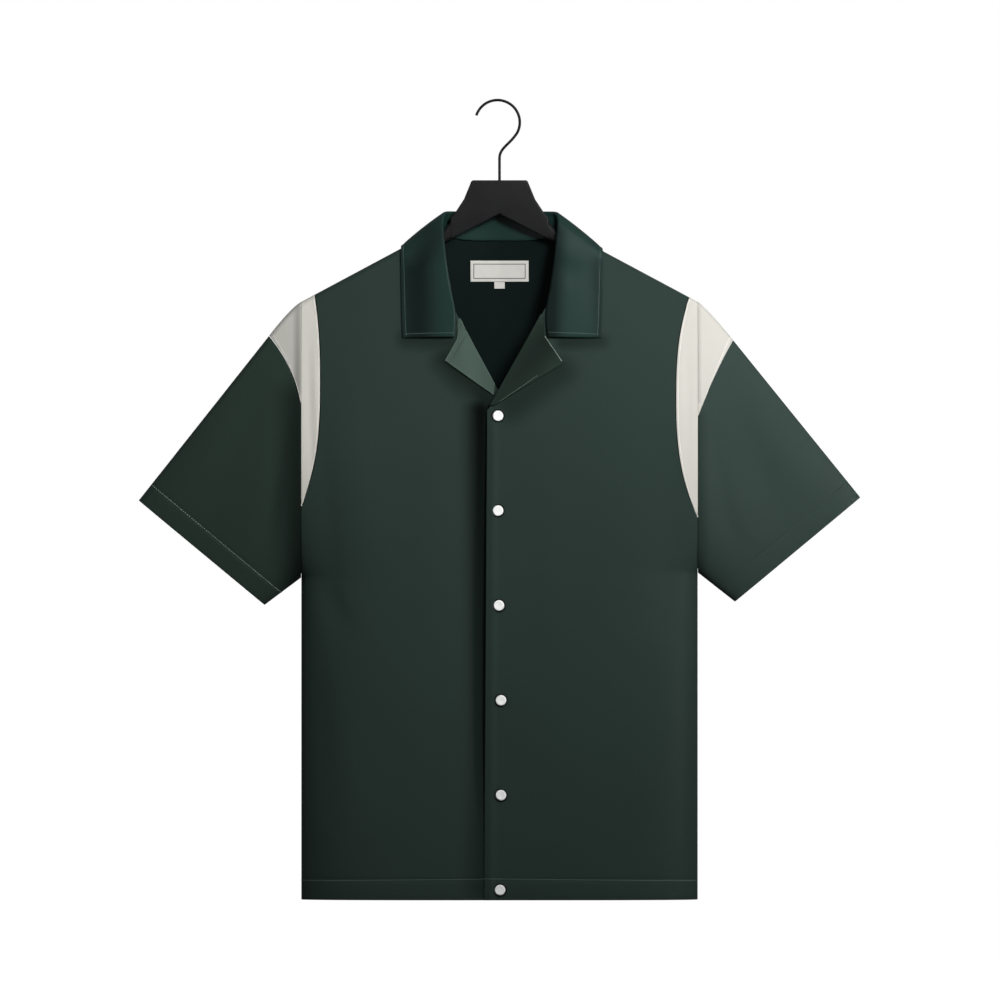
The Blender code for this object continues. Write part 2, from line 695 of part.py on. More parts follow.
def extruded(name, outline, thickness, bevel, finish, collection):
    """A flat outline in XZ, thickened evenly both ways along Y, with rounded edges."""
    shape = bmesh.new()
    face = shape.faces.new([shape.verts.new((x, -thickness / 2, z)) for x, z in outline])
    pushed = bmesh.ops.extrude_face_region(shape, geom=[face])
    moved = [item for item in pushed["geom"] if isinstance(item, bmesh.types.BMVert)]
    bmesh.ops.translate(shape, vec=(0, thickness, 0), verts=moved)
    bmesh.ops.recalc_face_normals(shape, faces=shape.faces)
    mesh = bpy.data.meshes.new(name)
    shape.to_mesh(mesh)
    shape.free()
    made = add_object(name, mesh, finish, collection)
    rounding = made.modifiers.new("rounded edges", "BEVEL")
    rounding.width = bevel
    rounding.segments = 2
    rounding.limit_method = "ANGLE"
    rounding.angle_limit = math.radians(60)
    return made


def arm_outline(sign):
    """One arm, from inside the head to its rounded end; its top runs under the collar and the shoulder."""
    start, end = 30 * MM, ARM_END_X
    dips = ((54 * MM, -2 * MM), (62 * MM, 2.5 * MM), (80 * MM, 0), (end - 4 * MM, 0))
    top = [(x, shoulder_z(x) - ARM_DROP - dip) for x, dip in dips]
    low = [(x, UNDERSIDE_APEX_Z - UNDERSIDE_SLOPE * x) for x in (end - 4 * MM, start)]
    tip = (end, (top[-1][1] + low[0][1]) / 2)
    inner = (start, low[-1][1] + 16 * MM)
    return [(sign * x, z) for x, z in [inner, *top, tip, *low]]


def head_outline():
    edge = [(x * MM, z * MM) for x, z in HEAD_EDGE]
    end_x = edge[-1][0]
    edge.append((end_x, UNDERSIDE_APEX_Z - UNDERSIDE_SLOPE * end_x))
    return edge + [(0.0, UNDERSIDE_APEX_Z)] + [(-x, z) for x, z in reversed(edge)]


def boolean(target, other, operation):
    change = target.modifiers.new(other.name, "BOOLEAN")
    change.object = other
    change.operation = operation


def add_hanger(finish, wire, collection, helpers):
    head = extruded("hanger_body", head_outline(), BAR_THICK, 2 * MM, finish, collection)
    for sign in (-1, 1):
        arm = extruded(f"arm_{sign}", arm_outline(sign), ARM_THICK, 4.6 * MM, finish, helpers)
        hide(arm)
        boolean(head, arm, "UNION")
    bpy.ops.mesh.primitive_cylinder_add(
        vertices=12,
        radius=HOOK_WIRE + GAP,
        depth=2 * HOOK_BORE_DEPTH,
        location=(0, 0, HEAD_TOP_Z),
    )
    bore = bpy.context.object
    bore.name = "hook_bore"
    for owner in list(bore.users_collection):
        owner.objects.unlink(bore)
    helpers.objects.link(bore)
    hide(bore)
    boolean(head, bore, "DIFFERENCE")

    curve = bpy.data.curves.new("hanger_hook", "CURVE")
    curve.dimensions = "3D"
    curve.bevel_depth = HOOK_WIRE
    curve.bevel_resolution = 2
    curve.use_fill_caps = True
    route = hook_route()
    spline = curve.splines.new("POLY")
    spline.points.add(len(route) - 1)
    for point, (x, z) in zip(spline.points, route):
        point.co = (x, 0, z, 1)
    add_object("hanger_hook", curve, wire, collection)


def hook_route():
    """Down the hook from its open tip: most of a circle, then the bend back and the straight shank."""
    cx, cz = HOOK_CENTRE
    route = []
    for angle in range(162, -31, -12):
        a = math.radians(angle)
        route.append((cx + HOOK_RADIUS * math.cos(a), cz + HOOK_RADIUS * math.sin(a)))
    leave = route[-1]
    shank = (0.0, -62 * MM)
    bend_a = (leave[0] - 9 * MM, leave[1] - 13 * MM)
    bend_b = (0.6 * MM, -51 * MM)
    for i in range(1, 9):
        t = i / 8
        near = bend_point(leave, bend_a, bend_b, t)
        far = bend_point(bend_a, bend_b, shank, t)
        route.append(mix_point(near, far, t))
    route.append((0.0, -75 * MM))
    route.append((0.0, HEAD_TOP_Z - HOOK_BORE_DEPTH + GAP))
    return route


def hide(helper):
    helper.hide_render = True
    helper.display_type = "WIRE"


# ---------------------------------------------------------------- the shirt, piece by piece


def build():
    clear_scene()
    shirt = new_collection("shirt_on_hanger")
    helpers = new_collection("helpers", hidden=True)

    add_cloth("back", back_rows(), material("back_twill", GREEN, 0.55), shirt, flip=True)
    for side in (RIGHT, LEFT):
        turned = side is RIGHT
        green = material(f"front_{side.name}_twill", GREEN, 0.55)
        add_cloth(f"front_{side.name}", front_rows(side), green, shirt, flip=turned)
        cream = material(f"inset_front_{side.name}_twill", CREAM, 0.6)
        add_cloth(f"inset_front_{side.name}", inset_front_rows(side), cream, shirt, flip=turned)
        green = material(f"sleeve_{side.name}_twill", GREEN, 0.55)
        add_cloth(f"sleeve_{side.name}", sleeve_rows(side), green, shirt, flip=turned, closed=True)
        cream = material(f"inset_sleeve_{side.name}_twill", CREAM, 0.6)
        add_cloth(f"inset_sleeve_{side.name}", inset_sleeve_rows(side), cream, shirt, flip=turned)
    collar = material("collar_twill", GREEN, 0.5)
    add_cloth("collar", collar_rows(), collar, shirt, wall=COLLAR_WALL, flip=True)
    for lapel in LAPELS:
        name = f"lapel_{lapel.side.name}"
        facing = material(f"{name}_facing", LIGHT_GREEN, 0.45)
        add_cloth(name, lapel_rows(lapel), facing, shirt, wall=LAPEL_WALL, flip=lapel.side is RIGHT)

    woven = material("label_satin", LABEL_WHITE, 0.6)
    off_back = 2 * GAP + LABEL_WALL
    label = back_inside_rows(LABEL_HALF_X, LABEL_LOW_Z, LABEL_TOP_Z, 6, off_back)
    add_cloth("neck_label", label, woven, shirt, wall=LABEL_WALL)
    tape = material("tab_satin", LABEL_WHITE, 0.6)
    tab = back_inside_rows(TAB_HALF_X, TAB_LOW_Z, LABEL_LOW_Z - GAP, 2, off_back)
    add_cloth("size_tab", tab, tape, shirt, wall=LABEL_WALL)

    add_snaps(material("snap_pearl", PEARL, 0.25), shirt)
    add_hanger(material("hanger_black", BLACK, 0.5), material("hook_black", BLACK, 0.4, 0.8), shirt, helpers)


build()
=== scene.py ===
"""The camp-collar snap-front shirt on its hanger, piece by piece, in the order that it is sewn and hung."""

import math
from collections import namedtuple

import bmesh
import bpy
import numpy as np
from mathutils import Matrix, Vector


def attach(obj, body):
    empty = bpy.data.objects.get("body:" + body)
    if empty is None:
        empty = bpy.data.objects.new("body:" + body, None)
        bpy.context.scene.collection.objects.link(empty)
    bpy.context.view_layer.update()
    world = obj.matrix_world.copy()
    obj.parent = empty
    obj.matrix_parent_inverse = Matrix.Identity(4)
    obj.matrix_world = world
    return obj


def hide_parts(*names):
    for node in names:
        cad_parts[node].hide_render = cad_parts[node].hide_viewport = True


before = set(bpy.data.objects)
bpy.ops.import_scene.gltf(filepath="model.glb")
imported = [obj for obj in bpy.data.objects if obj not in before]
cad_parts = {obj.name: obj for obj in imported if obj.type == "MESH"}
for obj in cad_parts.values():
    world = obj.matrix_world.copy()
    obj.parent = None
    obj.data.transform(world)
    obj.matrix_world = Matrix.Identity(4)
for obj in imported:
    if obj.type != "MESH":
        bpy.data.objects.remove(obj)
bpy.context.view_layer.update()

# ---------------------------------------------------------------- back
# One wide panel of satin-faced twill, cut on the fold with the shallow dip of the back neck. It hangs from
# the shoulder seams, and its sides are sewn to the fronts below the armholes.

MM = 0.001
WALL = 1.2 * MM  # the twill with its seam allowances
GAP = 0.3 * MM  # between two pieces at a seam
SEAM_GAP = 0.08 * MM  # the same at the armholes and sides, where light would show through
SIDE_X = 218 * MM
SEAM_EASE = 20 * MM  # over which a seam opens from nothing to its gap
HEM_Z = -877.8 * MM
HEM_BAND, HEM_PROUD, HEM_STEP = 22.4 * MM, 0.35 * MM, 1.5 * MM
HEM_GROOVE, HEM_GROOVE_ABOVE, HEM_GROOVE_WIDTH = 0.45 * MM, 0.4 * MM, 1.3 * MM
SHOULDER_SLOPE = 0.535
SHOULDER_APEX_Z = -103.7 * MM
ARM_ROLL = 9.5 * MM  # the cloth's radius over the hanger's arm
BODY_DEPTH = 44 * MM
FLARE_LENGTH, FLARE_POWER = 300 * MM, 2.2
BODY_ROUNDING = 3.6
ARMHOLE_OPEN, ARMHOLE_RISE = 0.86, 200 * MM
BACK_NECK_Z, BACK_NECK_SQUARENESS = -153.5 * MM, 6
FOLD_FADE = 9 * MM  # creases die away where half the depth is less
RIM_LINES = (0.08 * MM, 0.3 * MM, 0.6 * MM)  # grid lines beside an edge, which make it round
HEM_ROWS = (0, 5, 10, 15, 19, 21.2, 22.4, 23.4, 25, 28, 32)  # above the hem in mm, closer at its stitches
UNDERARM_ROWS = (0.2, 0.6, 1.2, 2.2, 3.4)  # above the underarm, in mm
LOW_ROWS, HIGH_ROWS = 82, 62  # between the hem and the underarm, and from there to the shoulder
LOW_ROWS_START, BACK_ROLL_START = 36 * MM, 22 * MM
GREEN = (0.0225, 0.0375, 0.0300)
GREEN_REVERSE_SHADED = (0.0050, 0.0095, 0.0088)  # the twill's dull inner side, darker still as painted shade inside the shirt
TWILL_ROUGHNESS = 0.48
RIB_SLANT = 1.7
YARN_SCALE = (1700, 130, 1)  # across and along the threads
# How dark and how rough painted shade makes the cloth.
SHADE_LINE_DARKNESS, SHADE_LINE_ROUGHNESS = 0.08, 0.9
SHADE_LINE_FRONT = 8 * MM  # painted shade shows only this far in front of the middle

Side = namedtuple(
    "Side",
    "name sign underarm_z neck_x edge_hem_x edge_top roll_top neck_front_x "
    "inset_tip_z inset_width inset_widest inset_top_width "
    "cap_bend head_top head_bend head_tip_z cuff_top cuff_low",
)
RIGHT = Side(
    name="right",
    sign=-1,
    underarm_z=-523.6 * MM,
    neck_x=65.5 * MM,
    edge_hem_x=-15 * MM,
    edge_top=(-15 * MM, -346.5 * MM),
    roll_top=(48 * MM, -230.5 * MM),
    neck_front_x=50 * MM,
    inset_tip_z=-445.8 * MM,
    inset_width=21.1 * MM,
    inset_widest=0.57,
    inset_top_width=14.6 * MM,
    cap_bend=(228.8 * MM, -226.1 * MM),
    head_top=(253.7 * MM, -258.0 * MM),
    head_bend=(226.9 * MM, -290.1 * MM),
    head_tip_z=-332.3 * MM,
    cuff_top=(396.9 * MM, -438.9 * MM),
    cuff_low=(258.5 * MM, -553.9 * MM),
)
LEFT = Side(
    name="left",
    sign=1,
    underarm_z=-518.1 * MM,
    neck_x=68.5 * MM,
    edge_hem_x=-17 * MM,
    edge_top=(-13.8 * MM, -339.4 * MM),
    roll_top=(51 * MM, -224.4 * MM),
    neck_front_x=53 * MM,
    inset_tip_z=-458.2 * MM,
    inset_width=24.3 * MM,
    inset_widest=0.54,
    inset_top_width=9.5 * MM,
    cap_bend=(229.4 * MM, -228.8 * MM),
    head_top=(257.1 * MM, -262.7 * MM),
    head_bend=(240.1 * MM, -291.4 * MM),
    head_tip_z=-347.1 * MM,
    cuff_top=(396.9 * MM, -435.6 * MM),
    cuff_low=(259.1 * MM, -550.3 * MM),
)

# A soft crease along a line, in mm: a trough where depth is positive and a ridge where it is negative.
Fold = namedtuple("Fold", "x1 z1 x2 z2 width depth")
BACK_FOLDS = (
    Fold(-150, -250, -120, -640, 16, 1.6),
    Fold(-96, -300, -84, -760, 22, -1.3),
    Fold(-30, -210, -44, -560, 18, 1.2),
    Fold(52, -230, 34, -690, 20, 1.5),
    Fold(118, -260, 104, -830, 24, -1.5),
    Fold(176, -330, 150, -600, 14, 1.7),
    Fold(-205, -500, -150, -590, 11, 1.3),
    Fold(206, -492, 158, -566, 10, 1.4),
    Fold(-170, -700, -176, -868, 20, 1.2),
    Fold(60, -730, 66, -872, 18, 1.0),
)


def mix(a, b, t):
    return a + (b - a) * t


def ease(t):
    t = np.clip(t, 0, 1)
    return t * t * (3 - 2 * t)


def shoulder_z(x):
    return SHOULDER_APEX_Z - SHOULDER_SLOPE * np.abs(x)


def fall(below):
    """Half the shirt's depth at a distance below the shoulder fold."""
    below = np.maximum(below, 0)
    rolled = np.sqrt(np.maximum(0, ARM_ROLL**2 - (ARM_ROLL - below) ** 2))
    free = np.clip((below - ARM_ROLL) / FLARE_LENGTH, 0, 1)
    hanging = ARM_ROLL + (BODY_DEPTH - ARM_ROLL) * (1 - (1 - free) ** FLARE_POWER)
    return np.where(below < ARM_ROLL, rolled, hanging)


def depth(x, z):
    """Half the depth of the body's form at x, z."""
    underarm = np.where(np.asarray(x) < 0, RIGHT.underarm_z, LEFT.underarm_z)
    rise = np.clip((z - underarm) / ARMHOLE_RISE, 0, 1)
    armhole = ARMHOLE_OPEN * np.sqrt(1 - (1 - rise) ** 2)
    turned = (np.abs(x) / SIDE_X) ** BODY_ROUNDING * (1 - armhole**2)
    return fall(shoulder_z(x) - z) * np.sqrt(np.maximum(0, 1 - turned))


def faded(lift, half):
    """The lift of creases or a hem, which dies away where half the depth is small."""
    return lift * ease(half / FOLD_FADE)


def folded(x, z, folds):
    """How far the creases lift the cloth at x, z. Each is steeper on one side and fades at its ends."""
    lift = np.zeros(np.broadcast(x, z).shape)
    for fold in folds:
        run_x, run_z = (fold.x2 - fold.x1) * MM, (fold.z2 - fold.z1) * MM
        length = math.hypot(run_x, run_z)
        from_x, from_z = x - fold.x1 * MM, z - fold.z1 * MM
        along = np.clip((from_x * run_x + from_z * run_z) / length**2, 0, 1)
        off = (from_x * run_z - from_z * run_x) / length / (fold.width * MM)
        off = np.where(off > 0, off / 1.5, off / 0.8)
        lift -= fold.depth * MM * np.exp(-(off**2)) * np.sin(math.pi * along) ** 0.8
    return lift


def side_reach(side, z):
    """How far out a panel goes at the height z: to the side fold, or just short of the sleeve."""
    return SIDE_X - SEAM_GAP / 2 * ease((z - side.underarm_z) / SEAM_EASE)


def hem_lift(above_hem):
    """The turned-up hem stands a little proud, and its stitches pull a groove."""
    band = HEM_PROUD * ease((HEM_BAND - above_hem) / HEM_STEP)
    from_groove = (above_hem - HEM_BAND - HEM_GROOVE_ABOVE) / HEM_GROOVE_WIDTH
    return band - HEM_GROOVE * np.exp(-(from_groove**2))


def body_heights(side, top):
    """Heights of a panel's rows at its outer end, closer at the hem's stitches and at the underarm."""
    hem = HEM_Z + np.array(HEM_ROWS) * MM
    low = np.linspace(HEM_Z + LOW_ROWS_START, side.underarm_z, LOW_ROWS)
    near = side.underarm_z + np.array(UNDERARM_ROWS) * MM
    rise = np.linspace(0, 1, HIGH_ROWS)
    high = mix(side.underarm_z, top, 0.45 * rise + 0.55 * rise**2)
    return np.sort(np.concatenate([hem, low, near, high[1:]]))


def thinned(values, least):
    """Sorted values without those that nearly repeat the one before."""
    values = np.sort(values)
    return values[np.concatenate([[True], np.diff(values) > least])]


# How far below the shoulder's fold the rows lie that roll over the hanger's arm.
ROLL_DROPS = ARM_ROLL * (1 - np.cos(np.radians([90, 76, 62, 48, 36, 25, 16, 8, 3, 0])))


def grid_run(points, axis):
    """The distance run along a grid's lines."""
    steps = np.linalg.norm(np.diff(points, axis=axis), axis=-1)
    start = np.zeros_like(steps.take([0], axis=axis))
    return np.concatenate([start, np.cumsum(steps, axis=axis)], axis=axis)


def with_rims(points, closed):
    """The grid with fine lines added beside its open edges."""
    for axis in (1,) if closed else (0, 1):
        for edge, beside in ((0, 1), (-1, -2)):
            first, second = points.take([edge], axis=axis), points.take([beside], axis=axis)
            reach = np.maximum(np.linalg.norm(second - first, axis=-1, keepdims=True), 1e-7)
            lines = [
                first + (second - first) * np.minimum(line / reach, share)
                for line, share in zip(RIM_LINES, (0.25, 0.5, 0.75))
            ]
            rest = np.delete(points, edge, axis=axis)
            added = [first, *lines, rest] if edge == 0 else [rest, *reversed(lines), first]
            points = np.concatenate(added, axis=axis)
    return points


def quads(index):
    corners = (index[:-1, :-1], index[:-1, 1:], index[1:, 1:], index[1:, :-1])
    return np.stack(corners, axis=-1).reshape(-1, 4)


def cloth_mesh(name, points, wall=WALL, turned=False, closed=False, lined=False):
    """A closed cloth shell. The grid lies on its outer face, and closed joins its last row to its first.
    Where it is lined, its inner face takes the piece's second finish."""
    grid = with_rims(points, closed)
    rows, columns = grid.shape[:2]
    looped = np.concatenate([grid, grid[:1]]) if closed else grid
    across, along = grid_run(looped, 1), grid_run(looped, 0)
    from_rim = np.minimum(across, across[:, -1:] - across)
    if not closed:
        from_rim = np.minimum(from_rim, np.minimum(along, along[-1:] - along))
    from_rim = from_rim[:rows]
    padded = np.concatenate([grid[-1:], grid, grid[:1]]) if closed else grid
    down_rows = np.gradient(padded, axis=0)[1:-1] if closed else np.gradient(padded, axis=0)
    normal = np.cross(np.gradient(grid, axis=1), down_rows) * (-1 if turned else 1)
    normal /= np.maximum(np.linalg.norm(normal, axis=-1, keepdims=True), 1e-15)
    half = wall / 2
    swell = half * np.sqrt(1 - (1 - np.clip(from_rim / half, 0, 1)) ** 2)
    middle, swelled = grid - normal * half, normal * swell[..., None]
    corners = np.concatenate([(middle + swelled).reshape(-1, 3), (middle - swelled).reshape(-1, 3)])
    upper = np.arange(rows * columns).reshape(rows, columns)
    lower = np.where(from_rim > 0, upper + rows * columns, upper)
    if closed:
        upper, lower = np.concatenate([upper, upper[:1]]), np.concatenate([lower, lower[:1]])
    drawn = quads(np.arange(looped.shape[0] * columns).reshape(-1, columns))
    faces = np.concatenate([quads(upper), quads(lower)[:, ::-1]])
    drawn = np.concatenate([drawn, drawn[:, ::-1]])
    if turned:
        faces, drawn = faces[:, ::-1], drawn[:, ::-1]
    used, faces = np.unique(faces, return_inverse=True)
    mesh = bpy.data.meshes.new(name)
    mesh.from_pydata(corners[used].tolist(), [], faces.reshape(-1, 4).tolist())
    flat = np.stack([across, along], axis=-1).reshape(-1, 2)
    mesh.uv_layers.new(name="weave").data.foreach_set("uv", flat[drawn].reshape(-1))
    if lined:
        mesh.polygons.foreach_set("material_index", np.repeat([0, 1], len(drawn) // 2))
    mesh.shade_smooth()
    return mesh


def add_object(name, data):
    made = bpy.data.objects.new(name, data)
    bpy.context.scene.collection.objects.link(made)
    return made


def place(name, mesh, finishes, slot, *nodes):
    """A finished piece, which rides with the hanger and stands for its solids."""
    piece = add_object(name, mesh)
    if len(mesh.materials):  # stitches bring their thread, and a lined shell would lose its second finish
        mesh.materials.clear()
    for finish in finishes if isinstance(finishes, tuple) else (finishes,):
        mesh.materials.append(finish)
    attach(piece, "root")
    if nodes:
        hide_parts(*nodes)
    return piece


class Signal:
    """A value in a material. Arithmetic on it adds Math nodes, and node() adds any other kind."""

    def __init__(self, tree, socket=None):
        self.tree = tree
        self.socket = socket

    def node(self, kind, settings=None, sockets=None, output=0):
        made = self.tree.nodes.new(kind)
        for name, value in (settings or {}).items():
            setattr(made, name, value)
        for name, value in (sockets or {}).items():
            if isinstance(value, Signal):
                self.tree.links.new(value.socket, made.inputs[name])
            else:
                made.inputs[name].default_value = value
        return Signal(self.tree, made.outputs[output])

    def math(self, operation, a, b=0.0):
        return self.node("ShaderNodeMath", {"operation": operation}, {0: a, 1: b})

    def __add__(self, other):
        return self.math("ADD", self, other)

    def __sub__(self, other):
        return self.math("SUBTRACT", self, other)

    def __rsub__(self, other):
        return self.math("SUBTRACT", other, self)

    def __mul__(self, other):
        return self.math("MULTIPLY", self, other)

    __radd__ = __add__
    __rmul__ = __mul__

    def blend(self, start, end):
        """From the colour start to the colour end, as this value goes from 0 to 1."""
        colours = [part if isinstance(part, Signal) else (*part, 1) for part in (start, end)]
        sockets = {0: self, 6: colours[0], 7: colours[1]}
        return self.node("ShaderNodeMix", {"data_type": "RGBA"}, sockets, output=2)

    def vector(self, operation, other, output=0):
        settings = {"operation": operation}
        return self.node("ShaderNodeVectorMath", settings, {0: self, 1: other}, output)

    def axes(self):
        """The three parts of this place, each on its own."""
        split = self.node("ShaderNodeSeparateXYZ", sockets={"Vector": self})
        return [Signal(self.tree, output) for output in split.socket.node.outputs]

    def noise(self, scale, detail=2.0, distortion=0.0):
        sockets = {"Vector": self, "Scale": scale, "Detail": detail, "Distortion": distortion}
        return self.node("ShaderNodeTexNoise", sockets=sockets)

    def ribs(self, pitch):
        """From 0 to 1 and back, once in each pitch."""
        return self.math("SINE", self * (2 * math.pi / pitch)) * 0.5 + 0.5


def new_material(name, **constants):
    """A material, its shader and its place on the piece. Sockets that don't vary are set here."""
    made = bpy.data.materials.new(name)
    made.use_nodes = True
    shader = made.node_tree.nodes["Principled BSDF"]
    for socket, value in constants.items():
        shader.inputs[socket.replace("_", " ")].default_value = value
    return made, shader, Signal(made.node_tree).node("ShaderNodeTexCoord", output=3)


def connect(shader, socket, value):
    value.tree.links.new(value.socket, shader.inputs[socket])


def emboss(shader, height, distance, strength):
    """Fine relief, from a height of 0 to 1."""
    sockets = {"Height": height, "Distance": distance, "Strength": strength}
    connect(shader, "Normal", height.node("ShaderNodeBump", sockets=sockets))


def scaled(parts, share):
    return tuple(part * share for part in parts)


# Painted shade, where a piece lies in its neighbour's shadow: along a line, in mm, as dark as start and end
# say.
ShadeLine = namedtuple("ShadeLine", "x1 z1 x2 z2 reach start end")


def painted_shade(where, shade_lines):
    """From 0 on open cloth to the painted shade's darkness on its lines, on the front of the shirt only."""
    in_front = where.node("ShaderNodeMapRange", sockets={0: where.axes()[1], 1: 0.0, 2: -SHADE_LINE_FRONT})
    flat = where.vector("MULTIPLY", (1, 0, 1))
    darkest = None
    for shade_line in shade_lines:
        run = ((shade_line.x2 - shade_line.x1) * MM, 0, (shade_line.z2 - shade_line.z1) * MM)
        length = math.hypot(run[0], run[2])
        from_first = flat.vector("SUBTRACT", (shade_line.x1 * MM, 0, shade_line.z1 * MM))
        along = from_first.vector("DOT_PRODUCT", scaled(run, 1 / length**2), output=1)
        along = along.node("ShaderNodeClamp", sockets={0: along})
        off = from_first.vector("DISTANCE", along.vector("MULTIPLY", run), output=1)
        smooth = {"interpolation_type": "SMOOTHSTEP"}
        near = where.node("ShaderNodeMapRange", smooth, {0: off, 1: shade_line.reach * MM, 2: 0.0})
        dark = near * mix(shade_line.start, shade_line.end, along)
        darkest = dark if darkest is None else where.math("MAXIMUM", darkest, dark)
    return darkest * in_front


def twill(
    name, colour, roughness, sheen=0.03, rib=0.95 * MM, relief=0.09 * MM, variation=0.12, gloss=0.15, shade_lines=()
):
    """Woven twill: slanting ribs, threads of slightly uneven tone and a soft nap, with painted shade along
    its lines.
    """
    made, shader, where = new_material(
        name,
        Sheen_Weight=sheen,
        Sheen_Roughness=0.4,
        Sheen_Tint=(*(part**0.35 for part in colour), 1),
        Specular_IOR_Level=gloss,
    )
    weave = where.node("ShaderNodeUVMap", {"uv_map": "weave"})
    across, along = weave.axes()[:2]
    ribs = (across + along * RIB_SLANT).ribs(rib)
    yarn = weave.vector("MULTIPLY", YARN_SCALE).noise(scale=1.0, detail=1.0)
    cloud = where.noise(scale=7.0, detail=3.0)
    shade = cloud * 0.5 + yarn * 0.3 + ribs * 0.2
    base = shade.blend(scaled(colour, 1 - variation), scaled(colour, 1 + variation))
    if shade_lines:
        dark = painted_shade(where, shade_lines)
        base = dark.blend(base, scaled(colour, SHADE_LINE_DARKNESS))
        roughness = mix(roughness, SHADE_LINE_ROUGHNESS, dark)
    connect(shader, "Base Color", base)
    connect(shader, "Roughness", (1 - ribs) * 0.05 + cloud * 0.06 + roughness - 0.05)
    emboss(shader, ribs * 0.7 + yarn * 0.3, relief, strength=0.55)
    return made


def body_columns(count, turn=0.02):
    """Shares from 0 to 1 across a panel, dense in the last part, where it turns round the side."""
    return np.concatenate([np.linspace(0, 1 - turn, count), 1 - turn * np.linspace(1, 0, 12)[1:] ** 2])


def back_top_z(x):
    """The back's top edge: the shoulder seams, and the neck seam's shallow dip between them."""
    neck_x = np.where(np.asarray(x) < 0, RIGHT.neck_x, LEFT.neck_x)
    inside = np.minimum(1, np.abs(x) / neck_x)
    dip = mix(BACK_NECK_Z, shoulder_z(neck_x), inside**BACK_NECK_SQUARENESS)
    return np.where(np.abs(x) >= neck_x, shoulder_z(x), dip)


def back_grid():
    outer_top = shoulder_z(SIDE_X)
    heights = np.concatenate([body_heights(side, outer_top - BACK_ROLL_START) for side in (RIGHT, LEFT)])
    shares = (thinned(heights, least=1.6 * MM) - HEM_Z) / (outer_top - HEM_Z)
    columns = body_columns(58)
    rows = []
    for share, drop in [(share, None) for share in shares] + [(0, drop) for drop in ROLL_DROPS]:
        halves = []
        for side in (RIGHT, LEFT):
            end_z = mix(HEM_Z, outer_top, share) if drop is None else outer_top - drop
            x = side.sign * columns * side_reach(side, end_z)
            top = back_top_z(x)
            z = mix(HEM_Z, top, share) if drop is None else top - drop
            y = depth(x, z) + SEAM_GAP / 2
            y += faded(folded(x, z, BACK_FOLDS) + hem_lift(z - HEM_Z), y)
            halves.append(np.stack([x, y, z], axis=-1))
        rows.append(np.concatenate([halves[0][:0:-1], halves[1]]))
    return np.array(rows)


back_points = back_grid()
green_back = twill("back_twill", GREEN, TWILL_ROUGHNESS)
green_reverse_shaded = twill("twill_reverse_shaded", GREEN_REVERSE_SHADED, roughness=0.75, sheen=0.0)
mesh = cloth_mesh("back_panel", back_points, turned=True, lined=True)
back_panel = place("back_panel", mesh, (green_back, green_reverse_shaded), "body_cloth", "back")

# ---------------------------------------------------------------- fronts
# Two panels of the same twill. The right one steps in under the left, whose folded edge carries the snaps.
# Each is sewn to the back at the shoulder and side, and turned up at the hem with one row of stitches.

ROLL_RECESS = 1 * MM
UNDERLAP_START, UNDERLAP_END = 45 * MM, 18 * MM
UNDERLAP_DEEP, UNDERLAP_FLAT = 4.6 * MM, 1.9 * MM
UNDERLAP_DEEP_Z = -660 * MM
INSET_POWER = 2.6
INSET_GAP = 0.7 * MM  # the groove along an inset's felled edge
EDGE_RIDGE, EDGE_RIDGE_X, EDGE_RIDGE_WIDTH = 1.6 * MM, 7 * MM, 4.5 * MM  # beside the left front's edge
EDGE_RIDGE_FADE = 25 * MM
EDGE_COLUMNS = (0.008, 0.024, 0.041, 0.058)  # shares across a front, so that the ridge is round
FRONT_ROLL_START = 20 * MM
THREAD_GREEN = (0.16, 0.22, 0.19)
FRONT_FOLDS = {
    RIGHT: (
        Fold(-196, -330, -176, -640, 13, 1.5),
        Fold(-170, -260, -140, -520, 18, -1.0),
        Fold(-108, -300, -96, -620, 22, 0.9),
        Fold(-205, -512, -150, -600, 11, 1.2),
        Fold(-206, -560, -186, -800, 16, 1.6),
        Fold(-120, -640, -126, -868, 24, 0.9),
        Fold(-21, -385, -21, -800, 8.5, 4.6),
        Fold(-60, -296, -84, -360, 14, 0.9),
    ),
    LEFT: (
        Fold(196, -340, 184, -600, 14, 1.2),
        Fold(150, -270, 138, -560, 20, -1.0),
        Fold(92, -310, 84, -700, 24, 0.8),
        Fold(206, -506, 158, -586, 10, 1.2),
        Fold(205, -600, 196, -850, 14, -1.3),
        Fold(126, -660, 132, -870, 22, 0.8),
        Fold(30, -360, 34, -660, 16, 0.9),
        Fold(40, -700, 30, -860, 14, 0.7),
    ),
}


def inset_top_z(side):
    return shoulder_z(SIDE_X - side.inset_top_width)


def inset_width(side, z):
    """Width of the cream inset beside the armhole, nothing below its point."""
    along = np.clip((z - side.inset_tip_z) / (inset_top_z(side) - side.inset_tip_z), 0, 1)
    widest = side.inset_widest
    reach = (1 - widest) / (1 - side.inset_top_width / side.inset_width) ** (1 / INSET_POWER)
    below = 1 - (np.maximum(0, widest - along) / widest) ** INSET_POWER
    above = 1 - (np.maximum(0, along - widest) / reach) ** INSET_POWER
    return side.inset_width * np.where(along < widest, below, above)


def edge_x(side, z):
    """A front's inner edge: the snap edge, then the lapel's fold, then the neck seam."""
    low_x, low_z = side.edge_top
    high_x, high_z = side.roll_top
    if z <= low_z:
        return mix(side.edge_hem_x, low_x, (z - HEM_Z) / (low_z - HEM_Z))
    if z <= high_z:
        return mix(low_x, high_x, (z - low_z) / (high_z - low_z)) + ROLL_RECESS
    up = (z - high_z) / (shoulder_z(side.neck_x) - high_z)
    return mix(side.neck_front_x, side.neck_x, math.sin(math.pi / 2 * min(1, up)))


